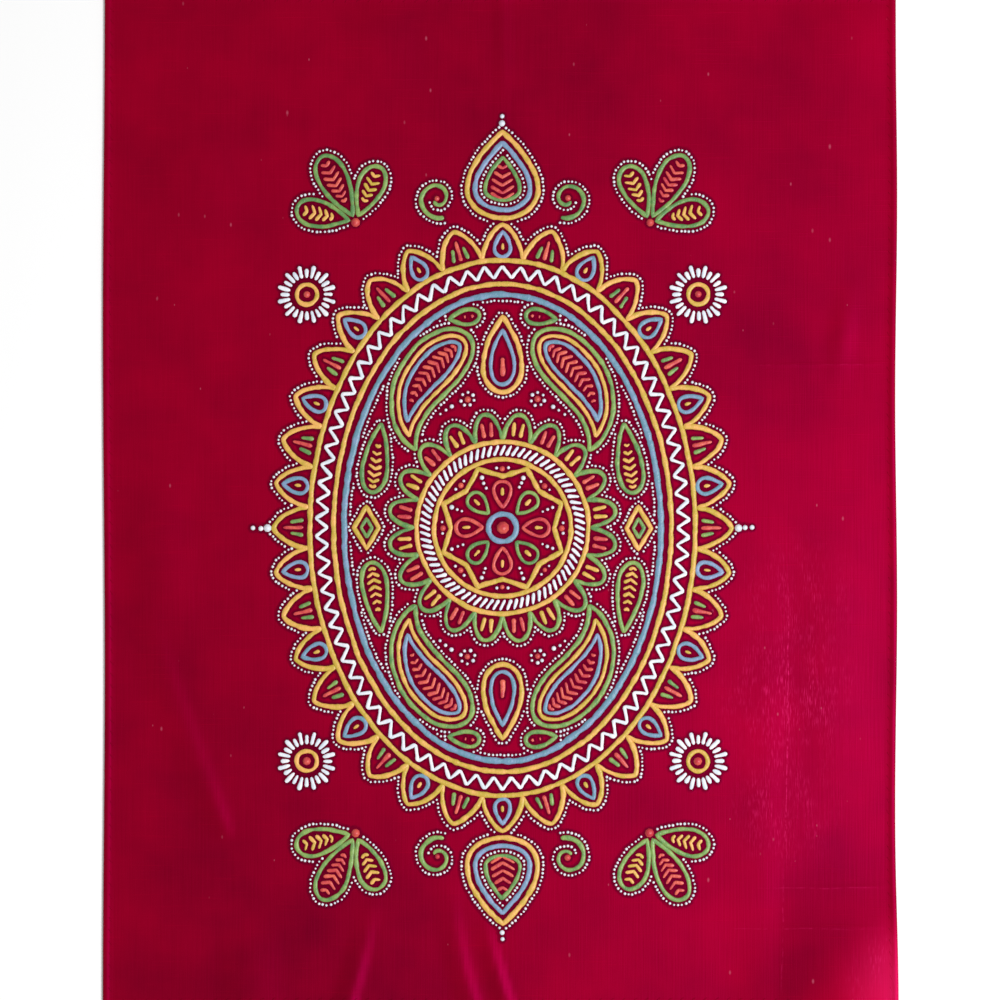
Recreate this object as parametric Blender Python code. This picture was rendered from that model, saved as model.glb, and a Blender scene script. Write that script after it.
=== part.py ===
"""Rogan painted textile: one hemmed length of crimson cloth, lying flat in its folds.

Metres, +Z up. The cloth lies on the plane z = 0, with the origin under its middle.
X runs across the cloth and Y up its length, to the top of the painted panel.
"""

import math
from collections import namedtuple

import bmesh
import bpy
import numpy as np

# Driving dimensions of the cloth
CLOTH_WIDTH = 0.286
CLOTH_LENGTH = 0.366
CLOTH_THICKNESS = 0.0010

# The edge is rolled over once and pressed, which makes a low round bead.
HEM_WIDTH = 0.0026
HEM_EXTRA_THICKNESS = 0.0007
HEM_ROWS = 3

# A hand-held cut is never quite straight: each edge draws in by up to this much.
EDGE_WAVER = 0.0007
WAVES_LEFT, WAVES_RIGHT, WAVES_BOTTOM, WAVES_TOP = 1.5, 2.5, 2.0, 1.5

# The cloth is a grid, wide where it lies flat and cut finer where a fold crosses it.
GRID_PITCH = 0.012
CUTS_NEAR_FOLDS = 5
SHORTEST_CUT_EDGE = GRID_PITCH / 3
CURVE_STEPS = 60

# A fold is a soft ridge that follows a curve through three points, in metres.
# rise and fall are the shares of its length over which it grows and dies away.
# A fold with no fall runs out at the edge of the cloth at its full height.
Fold = namedtuple("Fold", "name start middle end height half_width rise fall")
FOLDS = (
    Fold("left sweep", (-0.1314, -0.0252), (-0.1159, -0.0738), (-0.0972, -0.1217),
         0.0022, 0.0075, 0.75, 0.22),
    Fold("left foot", (-0.0414, -0.1260), (-0.0504, -0.1674), (-0.0550, -0.1830),
         0.0026, 0.0065, 0.90, 0.0),
    Fold("middle foot", (-0.0173, -0.1080), (-0.0144, -0.1476), (-0.0074, -0.1830),
         0.0030, 0.0060, 0.90, 0.0),
    Fold("right foot", (-0.0072, -0.1440), (-0.0011, -0.1638), (0.0090, -0.1830),
         0.0020, 0.0060, 0.90, 0.0),
)

# A corner that doesn't lie down rises smoothly from the plane to this height.
CornerLift = namedtuple("CornerLift", "name corner height reach")
CORNER_LIFTS = (
    CornerLift("bottom right", (CLOTH_WIDTH / 2, -CLOTH_LENGTH / 2), 0.0045, 0.062),
    CornerLift("top right", (CLOTH_WIDTH / 2, CLOTH_LENGTH / 2), 0.0016, 0.046),
)

# Crimson dyed satin, in linear colour
CRIMSON = (0.262, 0.002, 0.018, 1.0)
SATIN_ROUGHNESS = 0.55


def clear_scene():
    """Remove every object of the open scene."""
    for old in list(bpy.data.objects):
        bpy.data.objects.remove(old, do_unlink=True)


def bell(distance, reach):
    """A smooth hump: 1 at no distance, and exactly 0 from the reach outwards."""
    share = np.clip(distance / reach, 0.0, 1.0)
    return 0.5 * (1.0 + np.cos(math.pi * share))


def smooth_step(share):
    """0 to 1 with level ends, for a share that may run past both ends."""
    share = np.clip(share, 0.0, 1.0)
    return share * share * (3.0 - 2.0 * share)


def curve_through(fold, steps):
    """Points of the quadratic curve that passes through a fold's three points."""
    start, middle, end = (np.array(point) for point in (fold.start, fold.middle, fold.end))
    control = 2.0 * middle - 0.5 * (start + end)
    along = np.linspace(0.0, 1.0, steps)[:, None]
    return (1 - along) ** 2 * start + 2 * along * (1 - along) * control + along ** 2 * end


def gap_and_share(fold, across, up):
    """Distance of the points (across, up) from a fold's curve, and where along it they lie."""
    points = curve_through(fold, CURVE_STEPS)
    gaps = np.hypot(across[:, None] - points[:, 0], up[:, None] - points[:, 1])
    return gaps.min(axis=1), gaps.argmin(axis=1) / (CURVE_STEPS - 1)


def fold_height(fold, across, up):
    """Height that one fold gives the points (across, up)."""
    gap, along = gap_and_share(fold, across, up)
    growing = smooth_step(along / fold.rise)
    dying = smooth_step((1.0 - along) / fold.fall) if fold.fall else 1.0
    return fold.height * bell(gap, fold.half_width) * growing * dying


def cloth_height(across, up):
    """Height of the cloth's underside over the surface that it lies on."""
    height = np.zeros_like(across)
    for fold in FOLDS:
        height += fold_height(fold, across, up)
    for lift in CORNER_LIFTS:
        gap = np.hypot(across - lift.corner[0], up - lift.corner[1])
        height += lift.height * bell(gap, lift.reach)
    return height


def stations(length):
    """Grid stations along one side: close rows in both hems, even rows between them."""
    half = length / 2
    hem = np.linspace(0.0, HEM_WIDTH, HEM_ROWS + 1)
    inner = 2 * (half - HEM_WIDTH)
    rows = np.linspace(-inner / 2, inner / 2, round(inner / GRID_PITCH) + 1)
    return np.concatenate((hem[:-1] - half, rows, half - hem[-2::-1]))


def edge_inset(share, waves):
    """How far an edge draws in at a share of its length; nothing at its start."""
    return EDGE_WAVER * 0.5 * (1.0 - np.cos(2.0 * math.pi * waves * share))


def cloth_outline(across, up):
    """Draw the four straight edges of the grid in to the edges of a hand-cut cloth."""
    share_up = up / CLOTH_LENGTH + 0.5
    share_across = across / CLOTH_WIDTH + 0.5
    waves_side = np.where(across < 0, WAVES_LEFT, WAVES_RIGHT)
    waves_end = np.where(up < 0, WAVES_BOTTOM, WAVES_TOP)
    inset_side = edge_inset(share_up, waves_side)
    inset_end = edge_inset(share_across, waves_end)
    drawn_across = across * (1.0 - inset_side / (CLOTH_WIDTH / 2))
    drawn_up = up * (1.0 - inset_end / (CLOTH_LENGTH / 2))
    return drawn_across, drawn_up


def hem_bead(across, up):
    """Extra thickness of the rolled hem: half an ellipse across the hem's width."""
    from_edge = np.minimum(CLOTH_WIDTH / 2 - np.abs(across), CLOTH_LENGTH / 2 - np.abs(up))
    offset = (from_edge - HEM_WIDTH / 2) / (HEM_WIDTH / 2)
    return HEM_EXTRA_THICKNESS * np.sqrt(np.clip(1.0 - offset ** 2, 0.0, 1.0))


def satin_material():
    """Crimson satin."""
    material = bpy.data.materials.new("crimson_satin")
    material.use_nodes = True
    shader = material.node_tree.nodes["Principled BSDF"]
    shader.inputs["Base Color"].default_value = CRIMSON
    shader.inputs["Roughness"].default_value = SATIN_ROUGHNESS
    shader.inputs["Metallic"].default_value = 0.0
    material.diffuse_color = CRIMSON
    return material


def flat_grid():
    """The cloth before it is folded: a level grid, its rows close together in the hems."""
    columns = stations(CLOTH_WIDTH)
    rows = stations(CLOTH_LENGTH)
    grid = bmesh.new()
    bmesh.ops.create_grid(grid, x_segments=len(columns) - 1, y_segments=len(rows) - 1, size=0.5)
    for vert in grid.verts:
        column = round((vert.co.x + 0.5) * (len(columns) - 1))
        row = round((vert.co.y + 0.5) * (len(rows) - 1))
        vert.co = (columns[column], rows[row], 0.0)
    return grid


def refine_near_folds(grid):
    """Cut the long edges of each face that a fold reaches, and so not across the hem."""
    middles = np.array([face.calc_center_median() for face in grid.faces])
    reached = np.zeros(len(middles), dtype=bool)
    for fold in FOLDS:
        gap, _ = gap_and_share(fold, middles[:, 0], middles[:, 1])
        reached |= gap < fold.half_width + GRID_PITCH / 2
    near_faces = {face for face, near in zip(grid.faces, reached) if near}
    edges = [edge for edge in grid.edges if near_faces.intersection(edge.link_faces)]
    long_edges = [edge for edge in edges if edge.calc_length() > SHORTEST_CUT_EDGE]
    bmesh.ops.subdivide_edges(grid, edges=long_edges, cuts=CUTS_NEAR_FOLDS, use_grid_fill=True)


def cloth_underside():
    """The underside's mesh in its outline and folds, and the share of full thickness over it."""
    grid = flat_grid()
    refine_near_folds(grid)
    places = np.array([vert.co for vert in grid.verts])
    across, up = places[:, 0], places[:, 1]
    bead = hem_bead(across, up)
    drawn_across, drawn_up = cloth_outline(across, up)
    height = cloth_height(drawn_across, drawn_up)
    for vert, place in zip(grid.verts, np.stack((drawn_across, drawn_up, height), axis=1)):
        vert.co = place
    mesh = bpy.data.meshes.new("painted_cloth")
    grid.to_mesh(mesh)
    grid.free()
    return mesh, (CLOTH_THICKNESS + bead) / (CLOTH_THICKNESS + HEM_EXTRA_THICKNESS)


def make_cloth():
    """One closed sheet: the underside thickened upwards, with its rolled hem."""
    mesh, thickness_share = cloth_underside()
    mesh.materials.append(satin_material())
    cloth = bpy.data.objects.new("painted_cloth", mesh)
    bpy.context.collection.objects.link(cloth)

    thickness = cloth.vertex_groups.new(name="thickness")
    for index, share in enumerate(thickness_share):
        thickness.add([index], float(share), "REPLACE")
    solidify = cloth.modifiers.new("Thickness and hem", "SOLIDIFY")
    solidify.thickness = CLOTH_THICKNESS + HEM_EXTRA_THICKNESS
    solidify.offset = 1.0
    solidify.vertex_group = thickness.name
    return cloth


clear_scene()
make_cloth()
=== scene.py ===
# %% [markdown]
# # A rogan painted cloth
# The object is one hemmed length of crimson satin with a raised painted panel. It lies on a table in a few
# low folds. The imported solid gives its size and its place. This lesson dresses that solid step by step: the
# cloth, a formal design written as strokes, the raised paint, the satin's finish with its painted shade,
# shine and glints, the oil and painted shade round the paint, and the stitches of the hem.

import math
from collections import namedtuple

import bpy
import numpy as np
from mathutils.kdtree import KDTree
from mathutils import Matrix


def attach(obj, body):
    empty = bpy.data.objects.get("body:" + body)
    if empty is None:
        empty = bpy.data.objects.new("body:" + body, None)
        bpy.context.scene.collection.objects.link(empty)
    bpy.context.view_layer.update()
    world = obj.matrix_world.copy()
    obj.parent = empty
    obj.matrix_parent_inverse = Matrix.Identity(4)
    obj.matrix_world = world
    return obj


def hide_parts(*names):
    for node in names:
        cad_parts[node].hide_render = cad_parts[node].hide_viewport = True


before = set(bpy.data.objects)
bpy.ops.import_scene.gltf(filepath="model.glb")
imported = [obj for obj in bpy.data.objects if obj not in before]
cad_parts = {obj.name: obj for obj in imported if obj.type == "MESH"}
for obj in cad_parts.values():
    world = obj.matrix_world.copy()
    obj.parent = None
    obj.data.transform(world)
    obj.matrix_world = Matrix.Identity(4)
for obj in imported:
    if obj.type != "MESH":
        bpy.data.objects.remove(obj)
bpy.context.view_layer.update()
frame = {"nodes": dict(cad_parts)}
print("packed solids:", ", ".join(frame["nodes"]))

# %% [markdown]
# ## How the cloth lies
# Satin remembers how it was stored. Four low folds lie at its left and its foot, and two corners don't quite
# lie down, as on the solid. Over those come thin pressed creases and broad low swells, which the solid leaves
# out. Each is a ridge along a curve through three points, with its own width on each side, so one function
# gives the height of the cloth at any place, and the paint can be laid on the same ground. A fold's side
# towards the lamp is steep and narrow, which is why it shows as a thin bright ribbon.

# %% The cloth's sizes and its folds
CLOTH_WIDTH, CLOTH_LENGTH = 0.286, 0.366
CLOTH_THICKNESS = 0.0007
CURVE_STEPS = 60

Fold = namedtuple("Fold", "name start middle end height far_width near_width rise fall")
FOLDS = (
    Fold("left sweep", (-0.1314, -0.0252), (-0.1159, -0.0738), (-0.0972, -0.1217),
         0.0005, 0.0110, 0.0050, 0.60, 0.10),
    Fold("left foot", (-0.0436, -0.1380), (-0.0490, -0.1634), (-0.0545, -0.1830),
         0.0009, 0.0080, 0.0024, 0.80, 0.0),
    Fold("middle foot", (-0.0175, -0.1260), (-0.0150, -0.1570), (-0.0084, -0.1830),
         0.0007, 0.0080, 0.0027, 0.90, 0.0),
    Fold("right foot", (-0.0062, -0.1460), (-0.0023, -0.1624), (0.0038, -0.1830),
         0.0009, 0.0065, 0.0020, 0.80, 0.0),
)
CREASES = (
    Fold("point of the left sweep", (-0.1090, -0.0925), (-0.1030, -0.1080), (-0.0973, -0.1219),
         0.0003, 0.0050, 0.0020, 0.90, 0.05),
    Fold("upper cross crease", (0.1430, 0.0490), (0.1130, 0.0486), (0.0830, 0.0484),
         0.00006, 0.0011, 0.0008, 0.20, 0.40),
    Fold("lower cross crease", (0.1430, -0.1390), (0.1150, -0.1398), (0.0880, -0.1396),
         0.00009, 0.0020, 0.0008, 0.20, 0.40),
    Fold("lowest cross crease", (0.1430, -0.1536), (0.1100, -0.1541), (0.0790, -0.1544),
         0.00009, 0.0020, 0.0008, 0.20, 0.40),
    Fold("beside the long crease", (0.0965, 0.0400), (0.0960, -0.0800), (0.0930, -0.1830),
         0.00020, 0.0150, 0.0078, 0.60, 0.0),
    Fold("top crease", (0.0010, 0.1350), (0.0006, 0.1600), (0.0000, 0.1830),
         0.00030, 0.0050, 0.0030, 0.60, 0.0),
    Fold("right ripple", (0.1270, 0.0830), (0.1238, 0.0600), (0.1220, 0.0360),
         0.00040, 0.0070, 0.0060, 0.50, 0.50),
)
SWELLS = (
    Fold("upper left swell", (-0.1250, 0.1500), (-0.1080, 0.1200), (-0.1100, 0.0850),
         0.00060, 0.0220, 0.0220, 0.50, 0.50),
    Fold("left swell", (-0.1180, 0.0300), (-0.1230, -0.0200), (-0.1080, -0.0600),
         0.00050, 0.0160, 0.0160, 0.50, 0.50),
    Fold("right swell", (0.1220, 0.0100), (0.1190, -0.0600), (0.1240, -0.1200),
         0.00040, 0.0150, 0.0190, 0.40, 0.40),
    Fold("top swell", (-0.0500, 0.1830), (-0.0420, 0.1600), (-0.0450, 0.1350),
         0.00050, 0.0180, 0.0180, 0.30, 0.70),
    Fold("foot swell", (-0.0850, -0.1500), (-0.0900, -0.1680), (-0.0880, -0.1830),
         0.00050, 0.0140, 0.0140, 0.50, 0.0),
)
CornerLift = namedtuple("CornerLift", "name corner height reach")
CORNER_LIFTS = (
    CornerLift("bottom right", (CLOTH_WIDTH / 2, -CLOTH_LENGTH / 2), 0.0045, 0.062),
    CornerLift("top right", (CLOTH_WIDTH / 2, CLOTH_LENGTH / 2), 0.0016, 0.046),
)
print(len(FOLDS), "folds,", len(CREASES), "creases,", len(SWELLS), "swells")


# %% The height of the cloth at any place
def bell(distance, reach):
    """A smooth hump: 1 at no distance, and exactly 0 from the reach outwards."""
    return 0.5 * (1.0 + np.cos(math.pi * np.clip(distance / reach, 0.0, 1.0)))


def smooth_step(share):
    """0 to 1 with level ends, for a share that may run past both ends."""
    share = np.clip(share, 0.0, 1.0)
    return share * share * (3.0 - 2.0 * share)


def curve_through(fold):
    """Points of the quadratic curve that passes through a fold's three points."""
    start, middle, end = (np.array(point) for point in (fold.start, fold.middle, fold.end))
    control = 2.0 * middle - 0.5 * (start + end)
    along = np.linspace(0.0, 1.0, CURVE_STEPS)[:, None]
    return (1 - along) ** 2 * start + 2 * along * (1 - along) * control + along ** 2 * end


def fold_height(fold, across, up):
    """Height that one fold gives the points (across, up); its near side is left of its way."""
    points = curve_through(fold)
    offset_across, offset_up = across[:, None] - points[:, 0], up[:, None] - points[:, 1]
    gaps = np.hypot(offset_across, offset_up)
    nearest = gaps.argmin(axis=1)
    row = np.arange(len(across))
    way = np.gradient(points, axis=0)[nearest]
    near_side = way[:, 0] * offset_up[row, nearest] > way[:, 1] * offset_across[row, nearest]
    ridge = bell(gaps[row, nearest], np.where(near_side, fold.near_width, fold.far_width))
    along = nearest / (CURVE_STEPS - 1)
    dying = smooth_step((1.0 - along) / fold.fall) if fold.fall else 1.0
    return fold.height * ridge * smooth_step(along / fold.rise) * dying


def cloth_height(across, up):
    """Height of the cloth's underside over the table."""
    height = sum(fold_height(fold, across, up) for fold in FOLDS + CREASES + SWELLS)
    for lift in CORNER_LIFTS:
        gap = np.hypot(across - lift.corner[0], up - lift.corner[1])
        height += lift.height * bell(gap, lift.reach)
    return height


corner_height = cloth_height(np.array([CLOTH_WIDTH / 2]), np.array([-CLOTH_LENGTH / 2]))[0]
print("the bottom right corner stands", round(corner_height * 1000, 2), "mm up")

# %% [markdown]
# ## The cloth and its rolled hem
# The maker turns the raw edge over and presses it, which makes a low round bead, and each edge wavers a
# little. A closed sheet can be made with a modifier, but a grid in plain numbers is as short: an upper and a
# lower layer of the same points, joined round the edge. The rows stand closer together in the hem, to keep it
# round, and where a pressed crease crosses the cloth.

# %% The outline and the hem
HEM_WIDTH, HEM_EXTRA_THICKNESS, HEM_ROWS = 0.0026, 0.0003, 5
GRID_PITCH, FINE_PITCH = 0.00175, 0.0005
LONG_CREASE_SPAN = ((0.1000, 0.1070),)
CROSS_CREASE_SPANS = ((0.0470, 0.0503), (-0.1412, -0.1375), (-0.1557, -0.1521))
EDGE_WAVER = 0.0007
WAVES_LEFT, WAVES_RIGHT, WAVES_BOTTOM, WAVES_TOP = 1.5, 2.5, 2.0, 1.5


def stations(length, fine_spans):
    """Grid stations along one side: close rows in both hems and in the fine spans, even elsewhere."""
    half = length / 2
    hem = np.linspace(0.0, HEM_WIDTH, HEM_ROWS + 1)
    inner = 2 * (half - HEM_WIDTH)
    rows = np.linspace(-inner / 2, inner / 2, round(inner / GRID_PITCH) + 1)
    for low, high in fine_spans:
        rows = rows[(rows < low - FINE_PITCH) | (rows > high + FINE_PITCH)]
        rows = np.concatenate((rows, np.arange(low, high, FINE_PITCH)))
    return np.concatenate((hem[:-1] - half, np.sort(rows), half - hem[-2::-1]))


def cloth_outline(across, up):
    """Draw the four straight edges of the grid in to the edges of a hand-cut cloth."""
    def inset(share, waves):
        return EDGE_WAVER * 0.5 * (1.0 - np.cos(2.0 * math.pi * waves * share))

    inset_side = inset(up / CLOTH_LENGTH + 0.5, np.where(across < 0, WAVES_LEFT, WAVES_RIGHT))
    inset_end = inset(across / CLOTH_WIDTH + 0.5, np.where(up < 0, WAVES_BOTTOM, WAVES_TOP))
    return (across * (1.0 - inset_side / (CLOTH_WIDTH / 2)),
            up * (1.0 - inset_end / (CLOTH_LENGTH / 2)))


def hem_bead(across, up):
    """Extra thickness of the rolled hem: round at the cloth's edge, and soft where it ends."""
    from_edge = np.minimum(CLOTH_WIDTH / 2 - np.abs(across), CLOTH_LENGTH / 2 - np.abs(up))
    offset = np.clip((from_edge - HEM_WIDTH / 2) / (HEM_WIDTH / 2), -1.0, 1.0)
    return HEM_EXTRA_THICKNESS * np.where(offset < 0.0, np.sqrt(1.0 - offset ** 2), bell(offset, 1.0))


# %% The closed sheet
def closed_sheet(name):
    """The cloth: a lower and an upper layer of one grid, joined round the edge."""
    columns = stations(CLOTH_WIDTH, LONG_CREASE_SPAN)
    rows = stations(CLOTH_LENGTH, CROSS_CREASE_SPANS)
    grid_across, grid_up = (side.ravel() for side in np.meshgrid(columns, rows))
    across, up = cloth_outline(grid_across, grid_up)
    under = cloth_height(across, up)
    over = under + CLOTH_THICKNESS + hem_bead(grid_across, grid_up)
    places = np.concatenate([np.stack((across, up, layer), axis=1) for layer in (under, over)])

    index = np.arange(len(across)).reshape(len(rows), len(columns))
    upper = np.stack((index[:-1, :-1], index[:-1, 1:], index[1:, 1:], index[1:, :-1]), axis=-1)
    upper = upper.reshape(-1, 4)
    rim = np.concatenate((index[0, :-1], index[:-1, -1], index[-1, :0:-1], index[:0:-1, 0]))
    following = np.roll(rim, -1)
    lift = len(across)
    walls = np.stack((rim, following, following + lift, rim + lift), axis=1)
    faces = np.concatenate((upper[:, ::-1], upper + lift, walls))

    mesh = bpy.data.meshes.new(name)
    mesh.from_pydata(places.tolist(), [], faces.tolist())
    mesh.shade_smooth()
    sheet = bpy.data.objects.new(name, mesh)
    bpy.context.collection.objects.link(sheet)
    return sheet


cloth = closed_sheet("satin_cloth")
print("cloth:", len(cloth.data.polygons), "faces")

# %% [markdown]
# ## What a stroke of rogan is
# The paint is castor oil boiled to a thick paste with colour. The maker pulls it from a blunt stylus as a
# thread and lets the thread down on the cloth, so the whole design is lines with round ends, and dots. That
# is also the data here: a stroke is a path in millimetres, a width and a colour. The design is a formal
# medallion of old standard motifs (drops, arches, stars, ovals and sprays). All of it comes from formulas and
# mirrors, as a rogan maker folds the cloth to repeat half of a design on the other half.

# %% A stroke, and the mirrors that repeat it
Stroke = namedtuple("Stroke", "colour width path closed")
DottedEdge = namedtuple("DottedEdge", "path closed gap")
LargeDot = namedtuple("LargeDot", "colour radius at")
strokes, dotted_edges, large_dots = [], [], []

ONCE = ((1, 1),)
ENDS = ((1, 1), (1, -1))
FLANKS = ((1, 1), (-1, 1))
QUARTERS = ((1, 1), (-1, 1), (1, -1), (-1, -1))
DOT_ROW_GAP = 1.15


def placed(path, at=(0.0, 0.0), degrees=0.0):
    """Turn a path about its own origin, anticlockwise, and then move that origin."""
    angle = math.radians(degrees)
    turn = np.array(((math.cos(angle), math.sin(angle)), (-math.sin(angle), math.cos(angle))))
    return np.asarray(path, dtype=float) @ turn + np.array(at)


def lay(colour, width, path, closed=False, mirrors=ONCE, dotted=0):
    """Lay a stroke in each mirror. dotted is the side that gets white dots: 1 left, -1 right."""
    for mirror in mirrors:
        copy = np.asarray(path, dtype=float) * mirror
        strokes.append(Stroke(colour, width, copy, closed))
        if dotted:
            side = dotted * mirror[0] * mirror[1]
            dotted_edges.append(DottedEdge(copy, closed, side * (width / 2 + DOT_ROW_GAP)))


def large_dot(colour, radius, at, mirrors=ONCE):
    """Set a single larger dot in each mirror."""
    for mirror in mirrors:
        large_dots.append(LargeDot(colour, radius, np.array(at) * mirror))


# %% Ovals, stars, curls and arches
OVAL_POINTS, RING_POINTS, FINE_POINTS = 240, 96, 4001
CURL_POINTS, CURL_CLOSES = 40, 0.8
ARCH_POINTS = 25


def oval(half_width, half_height, count=OVAL_POINTS):
    """Points at equal steps clockwise round an ellipse, from its top."""
    fine = np.linspace(0.0, 2.0 * math.pi, FINE_POINTS)
    path = np.stack((half_width * np.sin(fine), half_height * np.cos(fine)), axis=1)
    run = np.concatenate(((0.0,), np.hypot(*np.diff(path, axis=0).T).cumsum()))
    angle = np.interp(np.linspace(0.0, run[-1], count, endpoint=False), run, fine)
    return np.stack((half_width * np.sin(angle), half_height * np.cos(angle)), axis=1)


def ring(radius):
    return oval(radius, radius, RING_POINTS)


def star(tips, outer, inner):
    """A star with its first tip half a step past the top."""
    angle = (np.arange(2 * tips) + 1) * math.pi / tips
    radius = np.where(np.arange(2 * tips) % 2 == 0, outer, inner)
    return np.stack((radius * np.sin(angle), radius * np.cos(angle)), axis=1)


def curl(radius, turns, start):
    """A curl that winds in anticlockwise from a start angle in degrees."""
    share = np.linspace(0.0, 1.0, CURL_POINTS)
    angle = math.radians(start) + turns * 2.0 * math.pi * share
    reach = radius * (1.0 - CURL_CLOSES * share)
    return np.stack((reach * np.cos(angle), reach * np.sin(angle)), axis=1)


def arch(foot_a, foot_b, height, point, fullness):
    """An arch that bulges to the left of its feet. point 1 gives a sharp tip, and 2 a round one."""
    share = np.linspace(0.0, 1.0, ARCH_POINTS)[:, None]
    chord = foot_b - foot_a
    out = np.array((-chord[1], chord[0])) / math.hypot(*chord)
    rise = (1.0 - np.abs(2.0 * share - 1.0) ** point) ** fullness
    return foot_a + chord * share + out * height * rise


# %% The drop, which bends into a paisley
Drop = namedtuple("Drop", "length width at degrees hook", defaults=((0.0, 0.0), 0.0, 0.0))
HEAD_SHARE, HEAD_POINTS, TAIL_POINTS = 0.32, 14, 26
TAIL_POWER, HOOK_POWER = 0.9, 2.2
STRAIGHT_UP = 90.0


def drop_half(share):
    """Half width of a drop, as a share of its most, at a share of the way to its tip."""
    in_head = np.clip(share / HEAD_SHARE, 0.0, 1.0)
    in_tail = np.clip((share - HEAD_SHARE) / (1.0 - HEAD_SHARE), 0.0, 1.0)
    return np.sqrt(1.0 - (1.0 - in_head) ** 2) * np.cos(in_tail * math.pi / 2) ** TAIL_POWER


def drop_spine(shape):
    """The middle line of a drop, its head at the origin, and the unit vector to its left."""
    in_head = HEAD_SHARE * (1.0 - np.cos(np.linspace(0.0, math.pi / 2, HEAD_POINTS)))
    share = np.concatenate((in_head, np.linspace(HEAD_SHARE, 1.0, TAIL_POINTS)[1:]))
    heading = np.radians(STRAIGHT_UP - shape.hook * share ** HOOK_POWER)
    step = shape.length * np.diff(share, prepend=0.0)
    spine = np.stack((np.cumsum(np.cos(heading) * step), np.cumsum(np.sin(heading) * step)), axis=1)
    return share, spine, np.stack((-np.sin(heading), np.cos(heading)), axis=1)


def drop(shape):
    """A drop, clockwise. Its tip is up until it is turned, and a hook in degrees bends the tip right."""
    share, spine, left_of = drop_spine(shape)
    half = shape.width / 2 * drop_half(share)[:, None]
    path = np.concatenate(((spine + left_of * half)[:-1], (spine - left_of * half)[:0:-1]))
    return placed(path, shape.at, shape.degrees)


def petal(length, width):
    """A drop the other way round: its tip at the origin and its round end outwards."""
    return drop(Drop(length, width))[::-1] * (1, -1) + (0, length)


# %% Chevrons that fill a drop
RIB_WIDTH, RIB_PITCH, RIB_SLANT, SHORTEST_RIB = 1.15, 2.45, 0.6, 0.4


def ribs(colour, shape, clearance, opening, mirrors):
    """Chevrons up the middle of a drop, clear of its edge. They open to its tip (1) or its head (-1)."""
    share, spine, left_of = drop_spine(shape)
    for reach in np.arange(clearance + RIB_WIDTH / 2, shape.length, RIB_PITCH):
        half = shape.width / 2 * drop_half(reach / shape.length) - clearance
        if half < SHORTEST_RIB:
            continue
        middle, left = (np.array([np.interp(reach / shape.length, share, line[:, axis]) for axis in (0, 1)])
                        for line in (spine, left_of))
        ahead = np.array((left[1], -left[0]))
        bend = middle - ahead * opening * half * RIB_SLANT
        rib = (middle + left * half, bend, middle - left * half)
        lay(colour, RIB_WIDTH, placed(rib, shape.at, shape.degrees), mirrors=mirrors)


# %% Steps along a path, and the path beside it
INSET_STEP, INSET_SLACK = 0.5, 0.98


def stepped(path, closed, pitch):
    """Points at even steps along a path."""
    loop = np.concatenate((path, path[:1])) if closed else path
    run = np.concatenate(((0.0,), np.hypot(*np.diff(loop, axis=0).T).cumsum()))
    count = max(2, round(run[-1] / pitch) + (0 if closed else 1))
    at = np.linspace(0.0, run[-1], count, endpoint=not closed)
    return np.stack([np.interp(at, run, loop[:, axis]) for axis in (0, 1)], axis=1)


def beside(path, closed, gap):
    """A path moved to its own left by a gap."""
    if closed:
        along = np.roll(path, -1, axis=0) - np.roll(path, 1, axis=0)
    else:
        along = np.gradient(path, axis=0)
    along = along / np.hypot(*along.T)[:, None]
    return path + np.stack((-along[:, 1], along[:, 0]), axis=1) * gap


def inset_path(path, inset):
    """A closed clockwise path moved inwards, without the loops that its tight ends would make."""
    outer = stepped(path, True, INSET_STEP)
    inner = beside(outer, True, -inset)
    gaps = np.hypot(*(inner[:, None] - outer[None]).transpose(2, 0, 1)).min(axis=1)
    return inner[gaps > INSET_SLACK * inset]


# %% The heart of the medallion: eight petals in an eight-pointed star
FULL_TURN = 360
EYE_RADIUS, EYE_RING, EYE_RING_LINE = 2.0, 5.0, 2.0
PETALS, PETAL_FOOT, PETAL_LENGTH, PETAL_WIDTH, PETAL_LINE = 8, 7.3, 9.4, 6.2, 1.25
PETAL_VEIN, PETAL_VEIN_LINE = ((0, 11.6), (0, 14.4)), 1.2
STAR_TIPS_AT, STAR_NOTCHES_AT, STAR_LINE = 23.0, 18.6, 1.8
TIP_DOTS = ((15.6, 0.5), (17.5, 0.6), (19.6, 0.75))
NOTCH_DOTS = (("coral", 0.95, (0, 21.4)), ("white", 0.5, (-2.1, 21.7)), ("white", 0.5, (2.1, 21.7)))


def heart():
    large_dot("coral", EYE_RADIUS, (0, 0))
    lay("blue", EYE_RING_LINE, ring(EYE_RING), True)
    for turn in range(PETALS):
        degrees = FULL_TURN / PETALS * turn
        foot = placed((0, PETAL_FOOT), degrees=degrees)
        line_colour = "green" if turn % 2 else "coral"
        lay(line_colour, PETAL_LINE, placed(petal(PETAL_LENGTH, PETAL_WIDTH), foot, degrees), True)
        lay("yellow", PETAL_VEIN_LINE, placed(PETAL_VEIN, degrees=degrees))
        for reach, radius in TIP_DOTS:
            large_dot("white", radius, placed((0, reach), degrees=degrees + FULL_TURN / PETALS / 2))
        for colour, radius, at in NOTCH_DOTS:
            large_dot(colour, radius, placed(at, degrees=degrees))
    lay("yellow", STAR_LINE, star(PETALS, STAR_TIPS_AT, STAR_NOTCHES_AT), True)


# %% A rope of slanting strokes between two rings
ROPE_RINGS, ROPE_RING_LINE = (24.6, 31.0), 1.7
ROPE_STROKES, ROPE_STROKE, ROPE_LINE = 76, ((-0.9, 26.0), (0.9, 29.7)), 1.15


def rope():
    for radius in ROPE_RINGS:
        lay("yellow", ROPE_RING_LINE, ring(radius), True)
    for degrees in np.arange(ROPE_STROKES) * FULL_TURN / ROPE_STROKES:
        lay("white", ROPE_LINE, placed(ROPE_STROKE, degrees=degrees))


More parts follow.
